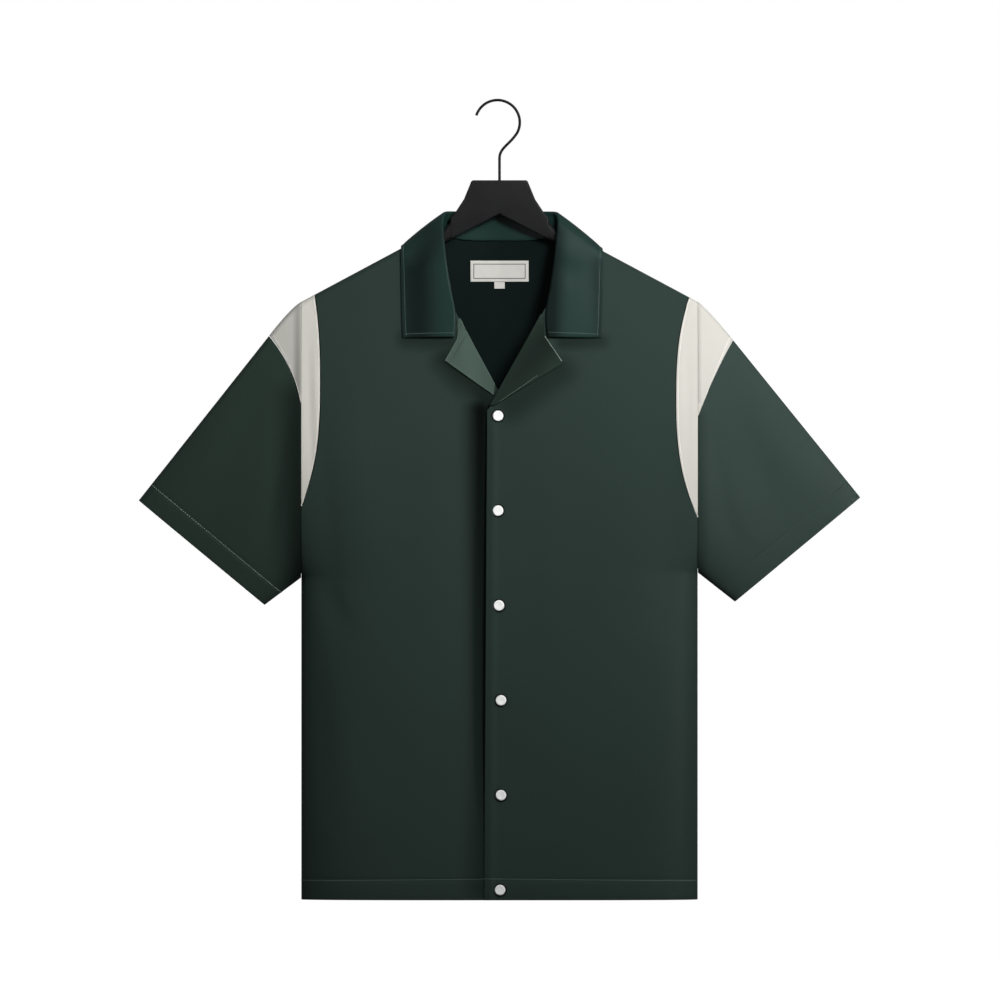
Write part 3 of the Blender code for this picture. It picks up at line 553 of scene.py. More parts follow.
def front_surface(side, x, z, out):
    """Points of a front's outer face, x measured outward, moved out of the cloth by out."""
    deep = mix(UNDERLAP_FLAT, UNDERLAP_DEEP, ease((z - HEM_Z) / (UNDERLAP_DEEP_Z - HEM_Z)))
    step = deep * ease((UNDERLAP_START - x) / (UNDERLAP_START - UNDERLAP_END)) if side is RIGHT else 0
    half = depth(side.sign * x, z)
    out = faded(out + folded(side.sign * x, z, FRONT_FOLDS[side]), half)
    return np.stack(np.broadcast_arrays(side.sign * x, -(half + SEAM_GAP / 2 - step + out), z), axis=-1)


def front_grid(side):
    top_in, top_out = shoulder_z(side.neck_x), inset_top_z(side)
    corners = np.array([side.edge_top[1], side.roll_top[1]])
    corners = mix(HEM_Z, top_out, (corners - HEM_Z) / (top_in - HEM_Z))
    heights = np.concatenate([body_heights(side, top_out - FRONT_ROLL_START), corners])
    heights = thinned(heights, least=0.15 * MM)
    columns = np.sort(np.concatenate([body_columns(60), EDGE_COLUMNS]))
    rows = []
    for outer_z, drop in [(z, None) for z in heights] + [(top_out - drop, drop) for drop in ROLL_DROPS]:
        share = (outer_z - HEM_Z) / (top_out - HEM_Z)
        inner_z = mix(HEM_Z, top_in, share) if drop is None else top_in - drop
        inner = edge_x(side, inner_z)
        outer = side_reach(side, outer_z) - inset_width(side, outer_z)
        outer -= INSET_GAP / 2 * ease((outer_z - side.inset_tip_z) / SEAM_EASE)
        x = mix(inner, outer, columns)
        z = mix(inner_z, outer_z, columns) if drop is None else shoulder_z(x) - drop
        ridge = EDGE_RIDGE * np.exp(-(((x - inner - EDGE_RIDGE_X) / EDGE_RIDGE_WIDTH) ** 2))
        ridge = ridge * ease((side.edge_top[1] - z) / EDGE_RIDGE_FADE) if side is LEFT else 0
        rows.append(front_surface(side, x, z, hem_lift(z - HEM_Z) + ridge))
    return np.array(rows)


def hem_row(points):
    """The row of a panel that its hem's stitches follow."""
    middle = points.shape[1] // 2
    return int(np.argmin(np.abs(points[:, middle, 2] - (HEM_Z + HEM_BAND))))


def stitch_tree():
    """Stitches along every edge line of a mesh: short rounded threads, one for each pitch."""
    tree = bpy.data.node_groups.new("stitches", "GeometryNodeTree")
    tree.interface.new_socket("Geometry", in_out="INPUT", socket_type="NodeSocketGeometry")
    for name in ("Pitch", "Stitch length", "Thread thickness"):
        tree.interface.new_socket(name, in_out="INPUT", socket_type="NodeSocketFloat")
    tree.interface.new_socket("Thread", in_out="INPUT", socket_type="NodeSocketMaterial")
    tree.interface.new_socket("Geometry", in_out="OUTPUT", socket_type="NodeSocketGeometry")
    given = tree.nodes.new("NodeGroupInput")
    line = tree.nodes.new("GeometryNodeMeshToCurve")
    spaced = tree.nodes.new("GeometryNodeResampleCurve")
    spaced.mode = "LENGTH"
    bead = tree.nodes.new("GeometryNodeMeshUVSphere")
    bead.inputs["Segments"].default_value = 6
    bead.inputs["Rings"].default_value = 4
    bead.inputs["Radius"].default_value = 0.5
    size = tree.nodes.new("ShaderNodeCombineXYZ")
    turned = tree.nodes.new("FunctionNodeAlignRotationToVector")
    turned.axis = "Z"
    tangent = tree.nodes.new("GeometryNodeInputTangent")
    placed = tree.nodes.new("GeometryNodeInstanceOnPoints")
    real = tree.nodes.new("GeometryNodeRealizeInstances")
    smooth = tree.nodes.new("GeometryNodeSetShadeSmooth")
    painted = tree.nodes.new("GeometryNodeSetMaterial")
    result = tree.nodes.new("NodeGroupOutput")
    for start, end in (
        (given.outputs["Geometry"], line.inputs["Mesh"]),
        (line.outputs["Curve"], spaced.inputs["Curve"]),
        (given.outputs["Pitch"], spaced.inputs["Length"]),
        (spaced.outputs["Curve"], placed.inputs["Points"]),
        (bead.outputs["Mesh"], placed.inputs["Instance"]),
        (given.outputs["Thread thickness"], size.inputs["X"]),
        (given.outputs["Thread thickness"], size.inputs["Y"]),
        (given.outputs["Stitch length"], size.inputs["Z"]),
        (size.outputs["Vector"], placed.inputs["Scale"]),
        (tangent.outputs["Tangent"], turned.inputs["Vector"]),
        (turned.outputs["Rotation"], placed.inputs["Rotation"]),
        (placed.outputs["Instances"], real.inputs["Geometry"]),
        (real.outputs["Geometry"], smooth.inputs["Geometry"]),
        (smooth.outputs["Geometry"], painted.inputs["Geometry"]),
        (given.outputs["Thread"], painted.inputs["Material"]),
        (painted.outputs["Geometry"], result.inputs["Geometry"]),
    ):
        tree.links.new(start, end)
    return tree


stitches = stitch_tree()


def thread_finish(name, colour):
    """Spun polyester thread: two shades along its twist, with a dull gloss."""
    made, shader, where = new_material(name, Roughness=0.45, Sheen_Weight=0.2)
    twist = where.noise(scale=900.0, detail=1.0)
    connect(shader, "Base Color", twist.blend(scaled(colour, 0.7), colour))
    emboss(shader, twist, 0.05 * MM, strength=1.0)
    return made


def plain_mesh(name, shaped, *helpers):
    """The mesh of an object with its modifiers applied. The object and its helpers are removed."""
    bpy.context.view_layer.update()
    mesh = bpy.data.meshes.new_from_object(shaped.evaluated_get(bpy.context.evaluated_depsgraph_get()))
    mesh.name = name
    for used in (shaped, *helpers):
        bpy.data.objects.remove(used)
    return mesh


def sew(name, lines, finish, slot, pitch=3.0 * MM, stitch=2.4 * MM, thick=0.55 * MM):
    """One piece holding all the stitches along the given lines of points."""
    drawn = bpy.data.meshes.new(name + "_lines")
    points, edges = [], []
    for line in lines:
        edges += [(len(points) + i, len(points) + i + 1) for i in range(len(line) - 1)]
        points += [tuple(point) for point in line]
    drawn.from_pydata(points, edges, [])
    carrier = add_object(name + "_lines", drawn)
    sewn = carrier.modifiers.new("stitches", "NODES")
    sewn.node_group = stitches
    values = {"Pitch": pitch, "Stitch length": stitch, "Thread thickness": thick, "Thread": finish}
    for item in stitches.interface.items_tree:
        if item.in_out == "INPUT" and item.name in values:
            sewn[item.identifier] = values[item.name]
    return place(name, plain_mesh(name, carrier), finish, slot)


# The same twill coloured a little lighter on the right front and darker on the left, as painted light and
# shade.
FRONT_GREEN_LIT_SHADED = {RIGHT: (0.0232, 0.0385, 0.0322), LEFT: (0.0205, 0.0345, 0.0290)}
# Painted shade beside the left front's edge over the right front, under the collar leaves and beside the
# lapels.
FRONT_SHADE_LINES = {
    RIGHT: (
        ShadeLine(-21, -340, -21, -862, 29, 1.0, 0.45),
        ShadeLine(-102, -262, -56, -266, 20, 0.45, 0.5),
        ShadeLine(-58, -284, -12, -330, 30, 0.62, 0.72),
    ),
    LEFT: (
        ShadeLine(70, -266, 112, -264, 15, 0.55, 0.4),
        ShadeLine(14, -334, 66, -296, 32, 0.5, 0.5),
    ),
}
green_thread = thread_finish("green_thread", THREAD_GREEN)
front_points = {side: front_grid(side) for side in (RIGHT, LEFT)}
hem_lines = [back_points[hem_row(back_points)]]
for side in (RIGHT, LEFT):
    name = f"front_panel_{side.name}"
    green = twill(f"front_twill_{side.name}", FRONT_GREEN_LIT_SHADED[side], TWILL_ROUGHNESS, shade_lines=FRONT_SHADE_LINES[side])
    mesh = cloth_mesh(name, front_points[side], turned=side is RIGHT, lined=True)
    panel = place(name, mesh, (green, green_reverse_shaded), "body_cloth", f"front_{side.name}")
    hem_lines.append(front_points[side][hem_row(front_points[side])])
sew("hem_stitches", hem_lines, green_thread, "body_cloth")

# ---------------------------------------------------------------- cream insets of the fronts
# A long pointed slip of cream twill between each front and its armhole, felled down with one row of
# stitches along its curved edge.

CREAM = (0.60, 0.585, 0.532)
CREAM_SHADED = (0.505, 0.490, 0.450)  # the same twill coloured darker, as painted shade
THREAD_CREAM = (0.95, 0.94, 0.90)
INSET_COLUMNS = (0, 0.05, 0.1, 0.16, 0.24, 0.34, 0.45, 0.56, 0.67, 0.78, 0.88, 0.95, 1)
FELL_RIDGE, FELL_SHARE = 0.25 * MM, 0.05  # the felled edge's fullness, and how far in it lies
INSET_FOLDS = {
    RIGHT: (Fold(-209, -240, -206, -420, 4, 0.7), Fold(-203, -260, -200, -400, 3, -0.5)),
    LEFT: (Fold(206, -250, 208, -410, 4, 0.8), Fold(200, -262, 203, -372, 3, -0.5)),
}


def inset_front_grid(side):
    low, high, outer_top = side.inset_tip_z + 1.0 * MM, inset_top_z(side), shoulder_z(SIDE_X)
    shares = np.linspace(0, 1, 64)[:-3]
    levels = [(mix(low, high, share), mix(low, outer_top, share), None) for share in shares]
    levels += [(high - drop, outer_top - drop, drop) for drop in ROLL_DROPS]
    columns = np.array(INSET_COLUMNS)
    felled = FELL_RIDGE * np.exp(-(((columns - FELL_SHARE) / FELL_SHARE) ** 2))
    rows = []
    for inner_z, outer_z, drop in levels:
        inner = side_reach(side, inner_z) - inset_width(side, inner_z) + INSET_GAP / 2
        x = mix(inner, side_reach(side, outer_z), columns)
        z = mix(inner_z, outer_z, columns) if drop is None else shoulder_z(x) - drop
        rows.append(front_surface(side, x, z, folded(side.sign * x, z, INSET_FOLDS[side]) + felled))
    return np.array(rows)


def cream_twill(name, colour, shade_lines=()):
    return twill(name, colour, roughness=0.62, variation=0.05, shade_lines=shade_lines)


cream_thread = thread_finish("cream_thread", THREAD_CREAM)
inset_lines = []
for side in (RIGHT, LEFT):
    name = f"inset_slip_{side.name}"
    cream = cream_twill(f"inset_twill_{side.name}", CREAM if side is RIGHT else CREAM_SHADED)
    points = inset_front_grid(side)
    mesh = cloth_mesh(name, points, turned=side is RIGHT)
    slip = place(name, mesh, cream, "inset_cloth", f"inset_front_{side.name}")
    inset_lines.append(points[4:, 2])

# ---------------------------------------------------------------- sleeves
# Each sleeve is one piece of twill, a flat tube sewn underneath and set into the armhole. The cuff is
# turned up like the hem. A cream cap, cut on the fold, fills the head of the sleeve.

CUFF_DEPTH, CUFF_ROUNDING = 14 * MM, 3
CUFF_COLUMNS_START = 1.35
CUFF_COLUMNS = (1.22, 1.08, 1, 0.94, 0.84, 0.65, 0.4, 0.18, 0)  # from the cuff's edge, in depths of its hem
SLEEVE_COLUMNS = 42  # before those
HEM_COLUMN = SLEEVE_COLUMNS + CUFF_COLUMNS.index(1)
CAP_REACH = 0.985  # how near to its points the cap is drawn
SLEEVE_GREEN_LIT_SHADED = {RIGHT: GREEN, LEFT: (0.0278, 0.0442, 0.0385)}  # the left one is coloured lighter, as painted light
# Cuff stitches: pale on the right sleeve as a painted highlight, near black on the left as painted shade.
CUFF_THREAD_LIT_SHADED = {RIGHT: (0.32, 0.42, 0.37), LEFT: (0.008, 0.016, 0.013)}
# Painted shade beside the armholes, on the sleeves and on the cream caps.
SLEEVE_SHADE_LINES = {
    RIGHT: (ShadeLine(-217, -330, -217, -530, 38, 0.6, 0.85),),
    LEFT: (ShadeLine(217, -350, 217, -530, 16, 0.3, 0.45),),
}
CAP_SHADE_LINES = {
    RIGHT: (ShadeLine(-222, -212, -222, -320, 7, 0.3, 0.5),),
    LEFT: (ShadeLine(219, -216, 219, -330, 4, 0.2, 0.25),),
}
SLEEVE_FOLDS = {
    RIGHT: (
        Fold(-228, -330, -262, -520, 9, 1.6),
        Fold(-250, -300, -322, -452, 14, 1.0),
        Fold(-276, -330, -356, -430, 12, -0.9),
        Fold(-232, -430, -280, -500, 10, 0.8),
    ),
    LEFT: (
        Fold(230, -350, 262, -512, 9, 1.1),
        Fold(252, -320, 318, -470, 14, 0.9),
        Fold(282, -340, 352, -440, 13, -0.8),
        Fold(236, -440, 286, -506, 10, 0.7),
    ),
}


def bend_point(start, bend, end, t):
    """A point on the curve that leaves start towards bend and arrives at end from it."""
    start, bend, end = np.array(start), np.array(bend), np.array(end)
    return mix(mix(start, bend, t), mix(bend, end, t), t)


def head_tip_share(side):
    top = shoulder_z(SIDE_X)
    return (side.head_tip_z - top) / (side.underarm_z - top)


def sleeve_line(side, down):
    """One line along the sleeve in the front view, at a share down the armhole: ring, bend, head, cuff."""
    ring = np.array([SIDE_X, mix(shoulder_z(SIDE_X), side.underarm_z, down)])
    cuff = mix(np.array(side.cuff_top), np.array(side.cuff_low), down)
    tip_share = head_tip_share(side)
    if down >= tip_share:
        return ring, ring, ring, cuff
    head = bend_point(side.head_top, side.head_bend, (SIDE_X, side.head_tip_z), down / tip_share)
    top_straight = mix(np.array([SIDE_X, shoulder_z(SIDE_X)]), np.array(side.head_top), 0.5)
    fade = (1 - down / tip_share) ** 2
    bend = mix(ring, head, 0.5) + fade * (np.array(side.cap_bend) - top_straight)
    return ring, bend, head, cuff


def sleeve_depth(side, down, out):
    """Half the sleeve's depth, at shares down the armhole and out along the sleeve."""
    at_body = depth(side.sign * SIDE_X, mix(shoulder_z(SIDE_X), side.underarm_z, down))
    at_cuff = CUFF_DEPTH * math.sqrt(max(0.0, 1 - abs(2 * down - 1) ** CUFF_ROUNDING))
    return mix(at_body, at_cuff, out)


def round_sleeve(shares, closed):
    """(share down, facing) all round: the front upward, the fold at the top, then the back downward."""
    front = [(down, -1) for down in shares[::-1]]
    back = [(down, 1) for down in shares[1:]]
    return front + (back[:-1] if closed else back)


def sleeve_grid(side):
    """Rows go round the sleeve. Columns go from its head to the cuff, HEM_COLUMN under its stitches."""
    spread = (1 - np.cos(np.linspace(0, math.pi, 60))) / 2
    shares = thinned(np.concatenate([spread, [head_tip_share(side)]]), least=0.0004)
    cuff_run = np.array(side.cuff_low) - np.array(side.cuff_top)
    cuff_run /= np.linalg.norm(cuff_run)
    rows = []
    for down, facing in round_sleeve(shares, closed=True):
        ring, bend, head, cuff = sleeve_line(side, down)
        line = cuff - head
        to_head, to_cuff = np.linalg.norm(head - ring), np.linalg.norm(line)
        hem = HEM_BAND / abs(line[0] * cuff_run[1] - line[1] * cuff_run[0])
        first = SEAM_GAP / 2 / to_cuff
        steps = np.linspace(first, 1 - hem * CUFF_COLUMNS_START, SLEEVE_COLUMNS)
        steps = np.concatenate([steps, 1 - hem * np.array(CUFF_COLUMNS)])
        x, z = head[0] + line[0] * steps, head[1] + line[1] * steps
        half = sleeve_depth(side, down, (to_head + steps * to_cuff) / (to_head + to_cuff))
        out = folded(side.sign * x, z, SLEEVE_FOLDS[side]) + hem_lift((1 - steps) / hem * HEM_BAND)
        rows.append(np.stack([side.sign * x, facing * (half + faded(out, half)), z], axis=-1))
    return np.array(rows)


def inset_sleeve_grid(side):
    """Rows go over the top of the sleeve from one point to the other. Columns go from armhole to edge."""
    turn = np.linspace(0, CAP_REACH * math.pi / 2, 44)
    shares = CAP_REACH * head_tip_share(side) * (1 - np.cos(turn)) / (1 - np.cos(turn[-1]))
    rows = []
    for down, facing in round_sleeve(shares, closed=False):
        ring, bend, head, cuff = sleeve_line(side, down)
        to_head, to_cuff = np.linalg.norm(head - ring), np.linalg.norm(cuff - head)
        # Near the points, a gap takes a fifth of the width at most.
        first, last = (min(0.2, gap / 2 / to_head) for gap in (SEAM_GAP, INSET_GAP))
        steps = np.concatenate([np.linspace(first, 0.9, 18), [0.94, 0.97, 1 - last]])
        points = np.array([bend_point(ring, bend, head, step) for step in steps])
        half = sleeve_depth(side, down, steps * to_head / (to_head + to_cuff))
        rows.append(np.stack([side.sign * points[:, 0], facing * half, points[:, 1]], axis=-1))
    return np.array(rows)


cuff_lines = {}
for side in (RIGHT, LEFT):
    name = f"sleeve_tube_{side.name}"
    shade_lines = SLEEVE_SHADE_LINES[side]
    green = twill(f"sleeve_twill_{side.name}", SLEEVE_GREEN_LIT_SHADED[side], TWILL_ROUGHNESS, shade_lines=shade_lines)
    points = sleeve_grid(side)
    mesh = cloth_mesh(name, points, turned=side is RIGHT, closed=True, lined=True)
    sleeve = place(name, mesh, (green, green_reverse_shaded), "body_cloth", f"sleeve_{side.name}")
    cuff_lines[side] = np.concatenate([points[:, HEM_COLUMN], points[:1, HEM_COLUMN]])
    name = f"inset_cap_{side.name}"
    cream = cream_twill(f"cap_twill_{side.name}", CREAM_SHADED, CAP_SHADE_LINES[side])
    points = inset_sleeve_grid(side)
    mesh = cloth_mesh(name, points, turned=side is RIGHT)
    cap = place(name, mesh, cream, "inset_cloth", f"inset_sleeve_{side.name}")
    inset_lines.append(points[3:-3, -3])
for side, line in cuff_lines.items():
    thread = thread_finish(f"cuff_thread_{side.name}", CUFF_THREAD_LIT_SHADED[side])
    sew(f"cuff_stitches_{side.name}", [line], thread, "body_cloth", thick=0.7 * MM)
pitch, stitch = 2.6 * MM, 2.2 * MM
sew("inset_stitches", inset_lines, cream_thread, "inset_cloth", pitch, stitch, thick=0.7 * MM)

# ---------------------------------------------------------------- seam allowances
# Inside each side seam the two edges are overlocked together and stand inward, from the hem up into the
# armhole.

ALLOWANCE, ALLOWANCE_WALL = 12 * MM, 1.0 * MM
ALLOWANCE_CLEAR = 0.6 * MM  # inside the walls at the side fold
ALLOWANCE_LOW, ALLOWANCE_HIGH = 2 * MM, 24 * MM  # above the hem and above the underarm
CORNER_UP, CORNER_OUT, CORNER_TURN = 3 * MM, 3.5 * MM, 4 * MM  # where it steps out into the sleeve


def allowance_grid(side):
    low, corner, high = HEM_Z + ALLOWANCE_LOW, side.underarm_z + CORNER_UP, side.underarm_z + ALLOWANCE_HIGH
    heights = np.concatenate([np.linspace(low, corner, 40), np.linspace(corner, high, 12)[1:]])[:, None]
    seam_x = SIDE_X - WALL - ALLOWANCE_CLEAR
    outer = mix(seam_x, SIDE_X + CORNER_OUT, ease((heights - corner) / CORNER_TURN))
    x = side.sign * mix(seam_x - ALLOWANCE, outer, np.linspace(0, 1, 9)[None, :])
    return np.stack(np.broadcast_arrays(x, -ALLOWANCE_WALL / 2, heights), axis=-1)


for side in (RIGHT, LEFT):
    name = f"side_allowance_{side.name}"
    mesh = cloth_mesh(name, allowance_grid(side), wall=ALLOWANCE_WALL, turned=side is RIGHT)
    strip = place(name, mesh, green_reverse_shaded, "body_cloth")

# ---------------------------------------------------------------- collar
# A one-piece camp collar of doubled twill: it stands up from the neck seam, rolls over and falls as two
# flat leaves, topstitched all along its free edge.

COLLAR_WALL = 1.6 * MM
ROLL_RADIUS = 2.3 * MM
LEAF_BULGE = 1.2 * MM
TOPSTITCH = 4.2 * MM  # in from the free edge
TOPSTITCH_GROOVE, TOPSTITCH_WIDTH = 0.3 * MM, 1.1 * MM
EDGE_PARTS = (1.35, 1.12, 1.0, 0.88, 0.6, 0.3, 0)  # columns beside the free edge, its stitches at 1
STAND_COLUMNS, ROLL_COLUMNS = 8, 15
FALL_COLUMN = STAND_COLUMNS + ROLL_COLUMNS - 1  # where the fall begins
STITCH_COLUMN = EDGE_PARTS.index(1.0) - len(EDGE_PARTS)
Station = namedtuple("Station", "seam_x seam_z roll_x roll_y roll_z edge_x edge_z edge_y")
ON_FORM = None
COLLAR_RIGHT = (
    Station(55.4, -259.6, 49.6, ON_FORM, -259.4, 106.4, -260.2, ON_FORM),
    Station(54.2, -246.0, 48.4, ON_FORM, -246.0, 107.2, -248.0, ON_FORM),
    Station(54.2, -230.5, 48.4, ON_FORM, -230.5, 107.8, -234.0, ON_FORM),
    Station(58.2, -208.0, 53.0, ON_FORM, -208.0, 108.2, -214.0, ON_FORM),
    Station(62.0, -185.4, 56.8, ON_FORM, -185.4, 108.6, -197.0, ON_FORM),
    Station(64.6, -162.0, 60.0, -19.0, -158.0, 108.8, -181.0, ON_FORM),
    Station(65.4, -147.0, 61.6, -11.5, -137.0, 108.8, -171.4, -13.0),
    Station(65.0, -141.0, 60.8, -6.6, -129.0, 108.8, -162.7, -8.7),
    Station(63.4, -138.7, 59.5, -1.0, -123.6, 108.6, -159.0, 0.0),
    Station(61.6, ON_FORM, 57.4, 3.2, -121.9, 106.8, -161.2, 8.9),
    Station(57.6, ON_FORM, 53.0, 7.2, -121.2, 103.0, -168.5, 17.5),
    Station(48.0, ON_FORM, 43.0, 12.0, -121.0, 84.0, -181.0, 22.0),
    Station(29.0, ON_FORM, 26.0, 15.2, -121.4, 50.0, -188.0, 27.0),
)
COLLAR_BACK = Station(0.0, ON_FORM, 0.0, 16.6, -121.8, 0.0, -190.5, 29.8)
COLLAR_LEFT = (
    Station(58.4, -259.8, 52.6, ON_FORM, -259.6, 111.7, -260.2, ON_FORM),
    Station(56.8, -244.0, 51.0, ON_FORM, -244.0, 112.4, -248.0, ON_FORM),
    Station(57.4, -226.0, 51.6, ON_FORM, -226.0, 113.0, -232.0, ON_FORM),
    Station(61.0, -204.0, 55.6, ON_FORM, -204.0, 113.6, -213.0, ON_FORM),
    Station(64.6, -184.0, 58.8, ON_FORM, -182.0, 114.0, -197.0, ON_FORM),
    Station(67.4, -162.0, 61.4, -19.0, -158.0, 114.2, -182.0, ON_FORM),
    Station(68.3, -148.6, 63.4, -11.5, -137.6, 114.0, -174.2, -13.0),
    Station(68.0, -142.6, 63.4, -6.6, -129.6, 114.0, -165.5, -8.7),
    Station(66.4, -140.3, 62.0, -1.0, -123.8, 113.6, -161.7, 0.0),
    Station(64.6, ON_FORM, 60.0, 3.2, -122.1, 111.4, -163.5, 8.9),
    Station(60.2, ON_FORM, 55.4, 7.2, -121.4, 107.0, -170.6, 17.5),
    Station(50.0, ON_FORM, 45.0, 12.0, -121.0, 86.0, -182.0, 22.0),
    Station(30.0, ON_FORM, 27.0, 15.2, -121.4, 51.0, -188.0, 27.0),
)


def collar_stations():
    """(seam, roll, edge) in space, from the right notch round the back of the neck to the left one."""
    right = [(station, -1) for station in COLLAR_RIGHT]
    left = [(station, 1) for station in reversed(COLLAR_LEFT)]
    placed = []
    for station, sign in right + [(COLLAR_BACK, 1)] + left:
        seam_x, roll_x, outer_x = (sign * x * MM for x in (station.seam_x, station.roll_x, station.edge_x))
        roll_z, outer_z = station.roll_z * MM, station.edge_z * MM
        if station.seam_z is ON_FORM:
            seam_z = back_top_z(seam_x)
            seam_y = depth(seam_x, seam_z) - WALL - COLLAR_WALL - 1.5 * GAP
        else:
            seam_z = station.seam_z * MM
            seam_y = -(depth(seam_x, seam_z) + 2.5 * GAP) if station.edge_y != 0.0 else 0.0
        roll_y, outer_y = station.roll_y, station.edge_y
        roll_y = -(depth(roll_x, roll_z) + 3 * GAP + ROLL_RADIUS) if roll_y is ON_FORM else roll_y * MM
        outer_y = -(depth(outer_x, outer_z) + 3 * GAP + COLLAR_WALL) if outer_y is ON_FORM else outer_y * MM
        placed.append(((seam_x, seam_y, seam_z), (roll_x, roll_y, roll_z), (outer_x, outer_y, outer_z)))
    return np.array(placed, dtype=float)


def smooth_through(stations, parts):
    """Stations in between the given ones, on a curve that passes through them."""
    ahead = np.concatenate([stations[1:], 2 * stations[-1:] - stations[-2:-1]])
    behind = np.concatenate([2 * stations[:1] - stations[1:2], stations[:-1]])
    slope = (ahead - behind) / 2
    made = []
    for i in range(len(stations) - 1):
        for t in np.arange(parts) / parts:
            leaving, arriving = t**3 - 2 * t**2 + t, t**3 - t**2
            turned = leaving * slope[i] + arriving * slope[i + 1]
            made.append(mix(stations[i], stations[i + 1], ease(t)) + turned)
    return np.array(made + [stations[-1]])


def unit(vectors):
    return vectors / np.linalg.norm(vectors, axis=-1, keepdims=True)


def collar_grid():
    """Sections across the collar: up the stand, round the roll and down the fall to the edge."""
    placed = smooth_through(collar_stations(), 6)
    seam, roll, edge = placed[:, 0], placed[:, 1], placed[:, 2]
    down = unit(edge - roll)
    outward = unit(np.cross(np.gradient(roll, axis=0), down))
    centre = roll + down * ROLL_RADIUS
    angles = np.linspace(0, math.pi, ROLL_COLUMNS)
    turn = [centre - (down * math.sin(angle) + outward * math.cos(angle)) * ROLL_RADIUS for angle in angles]
    stand = seam + unit(turn[0] - seam) * 2 * GAP
    columns = [mix(stand, turn[0], share) for share in np.arange(STAND_COLUMNS) / STAND_COLUMNS] + turn
    reach = np.linalg.norm(edge - turn[-1], axis=-1, keepdims=True)
    shares = [np.full_like(reach, share) for share in np.linspace(0, 0.86, 20)[1:]]
    shares += [1 - TOPSTITCH * part / reach for part in EDGE_PARTS]
    for share in shares:
        from_stitches = ((1 - share) * reach - TOPSTITCH) / TOPSTITCH_WIDTH
        bulge = LEAF_BULGE * 4 * share * (1 - share) - TOPSTITCH_GROOVE * np.exp(-(from_stitches**2))
        columns.append(mix(turn[-1], edge, share) + outward * bulge)
    return np.stack(columns, axis=1)


COLLAR_GREEN = (0.0095, 0.0268, 0.0222)  # deeper and more teal than the body's green
# Painted shade on the collar: over the right leaf, and along the roll and outer edge of the left.
COLLAR_SHADE_LINES = (
    ShadeLine(-90, -190, -88, -262, 34, 0.75, 0.7),
    ShadeLine(-72, -146, -90, -190, 26, 0.5, 0.75),
    ShadeLine(60, -146, 56, -262, 20, 0.75, 0.8),
    ShadeLine(108, -180, 111, -258, 14, 0.4, 0.4),
)
collar_points = collar_grid()
green = twill(
    "collar_twill", COLLAR_GREEN, roughness=0.34, relief=0.045 * MM, gloss=0.35, shade_lines=COLLAR_SHADE_LINES
)
mesh = cloth_mesh("collar_leaf", collar_points, wall=COLLAR_WALL, turned=True)
collar = place("collar_leaf", mesh, green, "body_cloth", "collar")
ENDS = 2  # rows in from the collar's ends to their stitches
FINE_THREAD = 0.45 * MM
collar_lines = [collar_points[ENDS:-ENDS, STITCH_COLUMN]]
collar_lines += [collar_points[row, FALL_COLUMN:STITCH_COLUMN] for row in (ENDS, -1 - ENDS)]
sew("collar_stitches", collar_lines, green_thread, "body_cloth", thick=FINE_THREAD)

# ---------------------------------------------------------------- lapels
# The fronts' facings, folded out at the neck: the satin side of the wearer's right one is coloured paler, as
# painted sheen. Both are topstitched along the free edge, and the right one has a turned strip beside its
# notch.

LAPEL_WALL = 1.8 * MM
LAPEL_CLEAR = 0.6 * MM
LAPEL_FOLD_LIFT = 1.2 * MM
STRIP, STRIP_GROOVE, STRIP_WIDTH = 5.5 * MM, 1.1 * MM, 0.9 * MM
# A paler copy of the green, as painted sheen on the right facing.
FACING_PAINTED_SHEEN = (0.053, 0.083, 0.068)
FACING_CUT = {RIGHT: (0.05, 0.08), LEFT: (0.065, 0.105)}
FACING_SHARE = 0.53  # of that rectangle, which the facing fills
# A pale thread along the left notch, as a painted highlight on its edge.
THREAD_PAINTED_HIGHLIGHT = (0.42, 0.52, 0.47)
# Painted shade over the left lapel's facing.
LAPEL_SHADE_LINES = (ShadeLine(-4, -330, 52, -262, 50, 0.5, 0.7),)
Lapel = namedtuple("Lapel", "side fold_low fold_high low_corner tip notch gorge top")
LAPELS = (
    Lapel(
        side=RIGHT,
        fold_low=(5.2, -311.0),
        fold_high=(43.4, -238.8),
        low_corner=(6.4, -323.5),
        tip=(60.5, -285.5),
        notch=(47.4, -262.6),
        gorge=(46.4, -257.0),
        top=(46.4, -239.6),
    ),
    Lapel(
        side=LEFT,
        fold_low=(-11.0, -334.6),
        fold_high=(45.4, -234.3),
        low_corner=(-5.8, -335.0),
        tip=(71.8, -287.1),
        notch=(53.6, -263.0),
        gorge=(49.2, -257.0),
        top=(48.9, -235.4),
    ),
)
CORNER_SHARES = (0.0, 0.58, 0.8, 0.86, 1.0)  # where the free edge's corners are
LAPEL_COLUMNS = (0, 0.01, 0.025, 0.05, 0.08, *np.linspace(0.12, 0.9, 22), 0.94, 0.97, 1.0)
# The rows, and the column counted from the free edge, that each line of stitches follows.
TOPSTITCHES = {RIGHT: (slice(1, 30), -3), LEFT: (slice(3, 19), -5)}
NOTCH_STITCHES = (slice(29, 42), -3)


